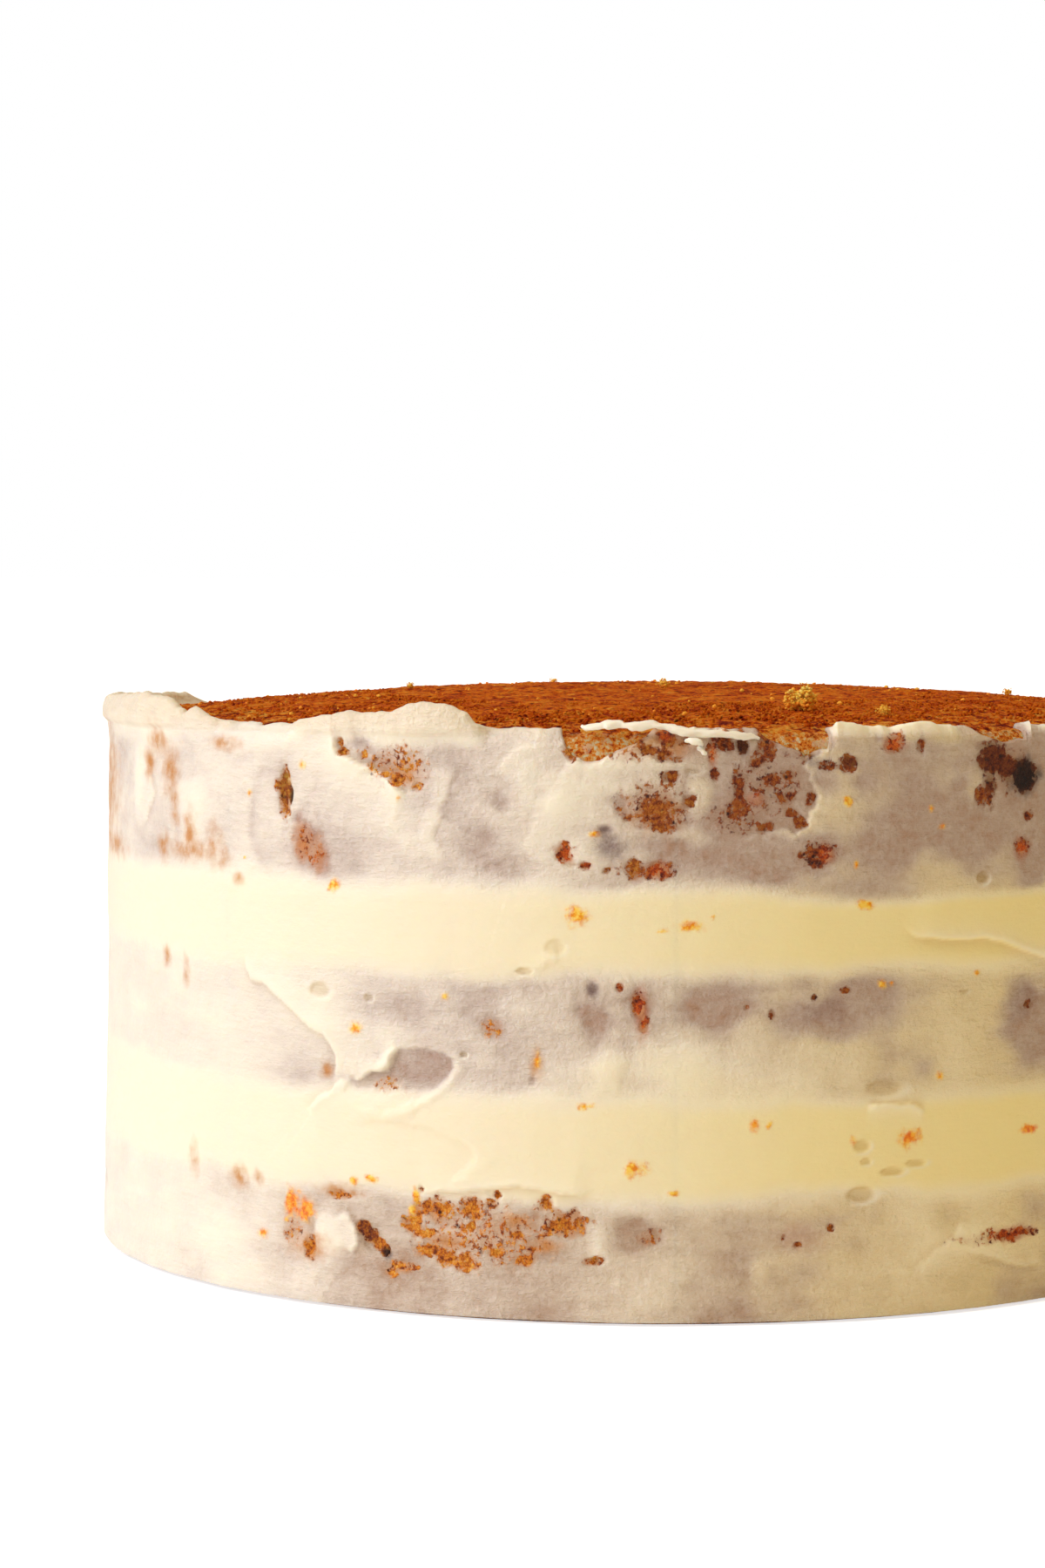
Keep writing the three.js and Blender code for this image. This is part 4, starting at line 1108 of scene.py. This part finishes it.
def tube(name, centres, halves, material, around=20):
    """A closed ribbon of oval section along centres; halves are its half widths and half heights."""
    turns = np.linspace(0, 2 * np.pi, around, endpoint=False)
    rings = []
    for i, (wide, high) in enumerate(halves):
        before, after = centres[max(i - 1, 0)], centres[min(i + 1, len(centres) - 1)]
        ahead = (after - before) / np.linalg.norm(after - before)
        side = np.cross(ahead, (0, 0, 1))
        side = side / np.linalg.norm(side)
        top = np.cross(side, ahead)
        rings.append(centres[i] + np.outer(wide * np.cos(turns), side) + np.outer(high * np.sin(turns), top))
    points = np.concatenate(rings + [centres[:1], centres[-1:]])
    noise = Noise(81)
    points = points + 0.4 * noise(*(points / 2.6).T)[:, None] + 0.26 * noise(*(points / 1.1).T)[:, None]
    faces = []
    for ring in range(len(centres) - 1):
        for i in range(around):
            a, b = ring * around + i, ring * around + (i + 1) % around
            faces += [(a, b, b + around), (a, b + around, a + around)]
    first, last = len(points) - 2, len(points) - 1
    end = (len(centres) - 1) * around
    for i in range(around):
        faces += [(first, (i + 1) % around, i), (last, end + i, end + (i + 1) % around)]
    piece = mesh_from(name, points, faces, material)
    store(piece, "cream", np.full(len(points), LIP_CREAM))
    store(piece, "under", np.ones((len(points), 4)))
    return piece


def resampled(rows, count):
    """A smooth run of count rows through the given ones."""
    rows = [np.array(row, float) for row in rows]
    return np.array(through([rows[0]] + rows + [rows[-1]], count))


def lip_strip(material):
    """The strip of lip on the crust."""
    angle, radius, over, wide, high = resampled(STRIP, 60).T
    x, y = on_side(angle, radius)
    centres = np.stack([x, y, crust_height(angle, radius) + over], axis=-1)
    return tube("lip_strip", centres, np.stack([wide, high], axis=-1), material)


def lip_hook(material):
    """The fleck that hangs from the strip."""
    angle, radius, height, half = resampled(HOOK, 40).T
    x, y = on_side(angle, radius)
    centres = np.stack([x, y, height], axis=-1)
    return tube("lip_hook", centres, np.stack([half, half], axis=-1), material, around=12)


# ---- materials


def srgb(red, green, blue):
    """A colour from its 0-255 screen values."""
    def linear(value):
        share = value / 255
        return share / 12.92 if share <= 0.04045 else ((share + 0.055) / 1.055) ** 2.4

    return (linear(red), linear(green), linear(blue), 1)


def stops(*rows):
    """A ramp's stops from rows of a place and 0-255 screen values."""
    return [(place, srgb(*colour)) for place, *colour in rows]


class Value:
    """What a socket puts out; sums and products of it make math nodes."""

    def __init__(self, nodes, socket):
        self.nodes = nodes
        self.socket = socket

    def __add__(self, other):
        return self.nodes.math("ADD", self, other)

    def __sub__(self, other):
        return self.nodes.math("SUBTRACT", self, other)

    def __mul__(self, other):
        return self.nodes.math("MULTIPLY", self, other)


class Nodes:
    """The node tree of a material or world, with short calls for the nodes used here."""

    def __init__(self, owner):
        self.owner = owner
        owner.use_nodes = True
        self.tree = owner.node_tree

    def put(self, socket, value):
        """Links a value to a socket, or sets the socket to a constant."""
        if isinstance(value, Value):
            self.tree.links.new(value.socket, socket)
        else:
            socket.default_value = value

    def finish(self, node_name, socket_name, value):
        """Puts a value into one of the tree's own last nodes."""
        self.put(self.tree.nodes[node_name].inputs[socket_name], value)

    def add(self, kind, output, inputs):
        """The output of a new node, with values for its inputs."""
        node = self.tree.nodes.new(kind)
        for name, value in inputs.items():
            self.put(node.inputs[name], value)
        return Value(self, node.outputs[output])

    def place(self, output="Object"):
        """Coordinates of the point that is shaded."""
        return self.add("ShaderNodeTexCoord", output, {})

    def to_camera(self):
        """1 where the camera looks, 0 for light."""
        return self.add("ShaderNodeLightPath", "Is Camera Ray", {})

    def attribute(self, name, output="Fac"):
        """What store kept for each vertex."""
        result = self.add("ShaderNodeAttribute", output, {})
        result.socket.node.attribute_name = name
        return result

    def stretched(self, across, up):
        """Object coordinates squeezed across and up, for features drawn out along the side."""
        inputs = {"Vector": self.place(), "Scale": (across, across, up)}
        return self.add("ShaderNodeMapping", "Vector", inputs)

    def noise(self, size, detail=3, roughness=0.55, vector=None):
        """Noise with features of about size mm, from 0 to 1."""
        inputs = {"Vector": vector or self.place(), "Scale": 1 / (size * MM)}
        inputs.update({"Detail": detail, "Roughness": roughness})
        return self.add("ShaderNodeTexNoise", "Fac", inputs)

    def cells(self, size):
        """Distance from the middles of cells of about size mm."""
        inputs = {"Vector": self.place(), "Scale": 1 / (size * MM)}
        return self.add("ShaderNodeTexVoronoi", "Distance", inputs)

    def math(self, operation, first, second):
        """A sum, a product or the like of two values."""
        result = self.add("ShaderNodeMath", 0, {0: first, 1: second})
        result.socket.node.operation = operation
        return result

    def spread(self, value, low, high, to_low=0, to_high=1):
        """to_low where value is low, to_high where it is high, straight between."""
        inputs = {"Value": value, "From Min": low, "From Max": high, "To Min": to_low, "To Max": to_high}
        return self.add("ShaderNodeMapRange", "Result", inputs)

    def bump(self, height, distance, strength=1):
        """A normal with a bump; height in units of distance mm."""
        inputs = {"Distance": distance * MM, "Strength": strength, "Height": height}
        return self.add("ShaderNodeBump", "Normal", inputs)

    def ramp(self, share, colours):
        """Colour by share; colours are places and colours."""
        result = self.add("ShaderNodeValToRGB", "Color", {"Fac": share})
        elements = result.socket.node.color_ramp.elements
        while len(elements) < len(colours):
            elements.new(0.5)
        for element, (place, colour) in zip(elements, colours):
            element.position = place
            element.color = colour
        return result

    def mix(self, share, first, second, blend="MIX"):
        """The first colour where share is 0, the second where it is 1."""
        node = self.tree.nodes.new("ShaderNodeMix")
        node.data_type = "RGBA"
        node.blend_type = blend
        self.put(node.inputs["Factor"], share)
        colours = [socket for socket in node.inputs if socket.type == "RGBA"]
        self.put(colours[0], first)
        self.put(colours[1], second)
        return Value(self, next(socket for socket in node.outputs if socket.type == "RGBA"))

    def tint(self, colour, tint, share=1):
        """A colour darkened by another."""
        return self.mix(share, colour, tint, "MULTIPLY")


# The surface's sockets that are used here
SOCKETS = {
    "colour": "Base Color", "roughness": "Roughness", "ior": "IOR", "specular": "Specular IOR Level",
    "inner": "Subsurface Weight", "inner_radius": "Subsurface Radius", "inner_scale": "Subsurface Scale",
    "glow": "Emission Strength", "glow_colour": "Emission Color", "normal": "Normal",
}
WHITE = (1, 1, 1, 1)


class Shader(Nodes):
    """A new material."""

    def __init__(self, name):
        super().__init__(bpy.data.materials.new(name))

    def surface(self, **values):
        """Puts values into the surface's sockets and returns the material."""
        for name, value in values.items():
            self.finish("Principled BSDF", SOCKETS[name], value)
        return self.owner


CRUMB_COLOURS = stops(
    (0.36, 112, 44, 8), (0.44, 176, 88, 14), (0.5, 220, 128, 22), (0.57, 240, 160, 44), (0.66, 250, 200, 100),
)
PORE = srgb(84, 30, 10)


def crumb_colour(shader):
    """Open sponge: golden brown grains round dark pores."""
    grain = shader.noise(0.85, detail=4, roughness=0.65)
    colour = shader.ramp(grain * 0.7 + shader.noise(2.8, detail=2) * 0.3, CRUMB_COLOURS)
    pores = shader.spread(shader.cells(1.6) + grain * 0.3, 0.26, 0.44)
    rare = shader.spread(shader.noise(3, detail=1), 0.46, 0.6)
    return shader.mix(shader.math("MAXIMUM", pores, rare), PORE, colour)


CREAM_SCALE = 3  # depth in mm at the ramp's end
CREAM_BY_DEPTH = stops(
    (0, 178, 144, 120), (0.05, 182, 154, 136), (0.12, 190, 168, 153), (0.2, 205, 188, 174),
    (0.3, 221, 207, 192), (0.42, 235, 224, 206), (0.6, 243, 234, 212), (1, 246, 237, 214),
)
BUTTERY = srgb(249, 229, 158)
SPECK = srgb(158, 116, 80)
# Colour of the painted shade in creases under strokes' edges and in dents
PAINTED_SHADE_TINT = srgb(222, 204, 166)
FILM = srgb(198, 134, 66)
BROWN = srgb(188, 158, 138)
WARM = srgb(220, 160, 106)  # thin cream next to bare crumb
WARM_BROWN = srgb(150, 110, 80)  # the same where the crumb is brown
GOLD = stops((0.38, 232, 138, 8), (0.48, 244, 174, 24), (0.6, 252, 212, 90))


def coat_material():
    """Cream: lilac and see-through where thin, whiter where thick, and torn open down to the crumb."""
    shader = Shader("frosting")
    depth = shader.attribute("cream")
    under = shader.attribute("under", "Color")
    grain = shader.noise(0.8, roughness=0.6) - 0.5
    cloud = shader.noise(4.5, vector=shader.stretched(0.6, 1.5)) - 0.5
    lines = shader.noise(1.8, detail=4, roughness=0.6, vector=shader.stretched(0.45, 1.6))
    swirls = shader.noise(2.2, detail=5, roughness=0.62)

    uneven = cloud * shader.spread(depth, 0.2, 0.8, 0.25, 0.5) + ((lines + swirls) * 0.5 - 0.5) * 0.7
    uneven = uneven + grain * shader.spread(depth, 0.2, 1.2, 0.5, 0.16)
    cream = shader.ramp(shader.spread(depth + uneven, 0, CREAM_SCALE), CREAM_BY_DEPTH)
    specks = shader.spread(shader.noise(1.1, roughness=0.6), 0.55, 0.7, 0, 0.4)
    cream = shader.mix(specks * shader.spread(depth, 0.15, 0.75, 1, 0), cream, SPECK)
    film = shader.spread(shader.noise(2.8, roughness=0.6), 0.32, 0.56, 0.35, 1)
    cream = shader.mix(film * shader.attribute("film"), cream, FILM)
    # The fillings' yellow, whose amount by angle is painted light
    cream = shader.mix(shader.attribute("butter"), cream, BUTTERY)
    # Painted shade in the creases under strokes' edges and in dents
    cream = shader.tint(cream, PAINTED_SHADE_TINT, shader.attribute("painted_shade"))
    near = shader.spread(depth + grain, 0.1, 1.2, 0.9, 0)
    cream = shader.mix(near, cream, shader.tint(cream, under))

    brown = shader.attribute("brown")
    crumb = shader.tint(shader.tint(crumb_colour(shader), BROWN, brown), under)
    bare = shader.attribute("torn")
    warm = shader.mix(brown, WARM, WARM_BROWN)
    cream = shader.mix(shader.spread(bare, 0.05, 0.55, 0, 0.6), cream, warm)
    broken = grain * 1.8 + (shader.noise(1.6, detail=4, roughness=0.65) - 0.54) * 3
    torn = bare + broken * shader.spread(bare, 0, 0.3)
    colour = shader.mix(shader.spread(torn, 0.12, 0.52), cream, crumb)
    caught = shader.attribute("caught")
    caught = caught + grain * shader.spread(caught, 0, 0.3, 0, 1.4)
    gold = shader.tint(shader.ramp(shader.noise(0.9), GOLD), under, 0.9)
    colour = shader.mix(shader.spread(caught, 0, 0.8), colour, gold)

    relief = (lines + swirls) * 0.7 + grain * shader.spread(torn, 0.2, 0.5, 0.3, 2.4)
    return shader.surface(
        colour=colour,
        roughness=shader.spread(depth, 0, 0.6, 0.8, 0.42),
        ior=1.45,
        inner=0.3,
        inner_radius=(1.0, 0.62, 0.32),
        inner_scale=1.6 * MM,
        normal=shader.bump(relief, 0.85, shader.spread(depth, 0.8, 2, 1, 0.22)),
    )


CRUST_COLOURS = stops(
    (0.36, 112, 20, 2), (0.43, 186, 58, 4), (0.5, 238, 108, 10), (0.57, 252, 138, 24), (0.66, 255, 184, 76),
)
CRUST_PIT = srgb(96, 22, 0)
TORN_EDGE = stops((0.4, 190, 60, 10), (0.46, 255, 140, 40), (0.53, 255, 186, 88), (0.6, 255, 240, 200))
LEFT_CREAM = srgb(255, 216, 172)  # cream left on the torn edge


def crust_material():
    """The browned crust with dark pits, and open crumb on its torn edge."""
    shader = Shader("crust")
    fine = shader.noise(0.9, detail=6, roughness=0.75)
    clumps = shader.noise(3.2)
    rim = shader.attribute("rim")
    share = (fine * 0.6 + clumps * 0.4 - 0.5) * shader.spread(rim, 0, 1, 1, 2.3)
    share = share + shader.spread(rim, 0, 1, 0.5, 0.51)
    patches = shader.spread(shader.noise(16), 0.3, 0.7, -0.03, 0.03)
    colour = shader.ramp(share + patches, CRUST_COLOURS)
    colour = shader.mix(shader.spread(shader.cells(1.9), 0.08, 0.3), CRUST_PIT, colour)
    left = shader.spread(shader.noise(2.2, detail=4, roughness=0.65), 0.56, 0.63, 0, 0.7)
    crumb = shader.mix(left, shader.ramp(fine, TORN_EDGE), LEFT_CREAM)
    return shader.surface(
        colour=shader.mix(shader.spread(shader.attribute("side"), 0.35, 0.8), colour, crumb),
        roughness=0.85,
        specular=0.07,
        inner=0.1,
        inner_radius=(1.0, 0.4, 0.15),
        inner_scale=1 * MM,
        normal=shader.bump(fine + clumps * 0.6, 1.6),
    )


CRUMB_TINTS = stops((0.1, 232, 116, 8), (0.4, 255, 160, 24), (0.7, 255, 198, 60), (0.95, 255, 222, 120))


def grain_material():
    """Loose crumbs: deep to light gold, by random tone and by painted light that is lighter on top of a
    crumb.
    """
    shader = Shader("crumbs")
    share = shader.attribute("tint") * 0.7 + shader.noise(0.5) * 0.3
    return shader.surface(
        colour=shader.ramp(share, CRUMB_TINTS),
        roughness=0.8,
        inner=0.2,
        inner_scale=0.8 * MM,
        normal=shader.bump(shader.noise(0.5, detail=4), 0.5),
    )


def sponge_material():
    """The layers of sponge inside, under the coat."""
    shader = Shader("sponge_inside")
    relief = shader.noise(1, detail=4)
    return shader.surface(colour=crumb_colour(shader), roughness=0.88, normal=shader.bump(relief, 0.6))


def filling_material():
    """The cream between the layers, under the coat."""
    shader = Shader("filling_cream")
    return shader.surface(
        colour=shader.ramp(shader.noise(6), stops((0.3, 240, 224, 184), (0.7, 248, 236, 204))),
        roughness=0.42,
        inner=0.3,
        inner_scale=1.6 * MM,
        normal=shader.bump(shader.noise(2.4), 0.25),
    )


# ---- floor, light, camera

FLOOR_HALF = 6  # in metres
FLOOR_GLOW = 0.7
LAMP_TARGET = (0, 0, 0.05)  # in metres
SKY_COLOURS = [(0.1, (0.6, 0.62, 0.68, 1)), (0.85, (0.48, 0.35, 0.16, 1))]


def floor():
    """A plain white floor."""
    corners = [(-1, -1), (1, -1), (1, 1), (-1, 1)]
    mesh = bpy.data.meshes.new("floor")
    mesh.from_pydata([(FLOOR_HALF * x, FLOOR_HALF * y, 0) for x, y in corners], [], [(0, 1, 2, 3)])
    shader = Shader("floor")
    glow = shader.to_camera() * FLOOR_GLOW
    white = shader.surface(colour=srgb(252, 250, 246), roughness=0.7, glow_colour=WHITE, glow=glow)
    piece = link("floor", mesh, white)


def sky():
    """White to the camera; as light, cool and bright from the left, warm and dim from the right."""
    world = bpy.data.worlds.new("studio")
    nodes = Nodes(world)
    across = nodes.add("ShaderNodeSeparateXYZ", "X", {0: nodes.place("Generated")})
    light = nodes.ramp(nodes.spread(across, -1, 1), SKY_COLOURS)
    nodes.finish("Background", "Color", nodes.mix(nodes.to_camera(), light, WHITE))
    bpy.context.scene.world = world


def lamp(name, angle, elevation, distance, size, watts, colour):
    """A round lamp at a distance in metres, which looks at the cake."""
    light = bpy.data.lights.new(name, "AREA")
    light.shape = "DISK"
    light.size = size
    light.energy = watts
    light.color = colour
    item = bpy.data.objects.new(name, light)
    turn, up = np.radians(angle), np.radians(elevation)
    target = Vector(LAMP_TARGET)
    away = Vector((np.sin(turn) * np.cos(up), -np.cos(turn) * np.cos(up), np.sin(up)))
    item.location = target + distance * away
    item.rotation_euler = away.to_track_quat("Z", "Y").to_euler()
    bpy.context.scene.collection.objects.link(item)


CAMERA_PLACE = (0, -0.812, 0.137)  # in metres
CAMERA_LEFT = 1.733  # degrees that it looks to the left of the cake's axis
CAMERA_DOWN = 3.837
CAMERA_LENS = 100.5


def camera():
    """The photo's camera."""
    data = bpy.data.cameras.new("camera")
    data.lens = CAMERA_LENS
    data.sensor_width = 36
    item = bpy.data.objects.new("camera", data)
    item.location = CAMERA_PLACE
    item.rotation_euler = Euler((np.radians(90 - CAMERA_DOWN), 0, np.radians(CAMERA_LEFT)))
    bpy.context.scene.collection.objects.link(item)
    bpy.context.scene.camera = item


# ---- the cake


def dress(piece, slot, *nodes):
    """Ties a piece to the cake's body and hides the CAD nodes that it replaces; slot is not used."""
    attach(piece, "root")
    if nodes:
        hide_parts(*nodes)


frosting = coat_material()
for sheet, (first, last, columns) in COAT_SHEETS.items():
    replaced = ["coat"] if sheet == "coat_front" else []
    dress(coat_sheet(sheet, first, last, columns, frosting), "coat", *replaced)
dress(lip_strip(frosting), "coat")
dress(lip_hook(frosting), "coat")
crust = crust_material()
dress(dome(crust), "crust", "sponge_top")
dress(crust_grains(crust), "crust")
dress(loose_crumbs(grain_material()), "sponge")

inside = {"sponge": sponge_material(), "filling": filling_material()}
for node in ("sponge_bottom", "sponge_middle", "filling_lower", "filling_upper"):
    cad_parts[node].data.materials[0] = inside[node.split("_")[0]]

floor()
sky()
lamp("key", angle=-68, elevation=28, distance=1.5, size=1.1, watts=11.4, colour=(1, 0.97, 1.04))
lamp("top", angle=-20, elevation=75, distance=1.4, size=1.0, watts=5.4, colour=(1, 0.97, 0.93))
camera()
bpy.context.scene.view_settings.view_transform = "Standard"
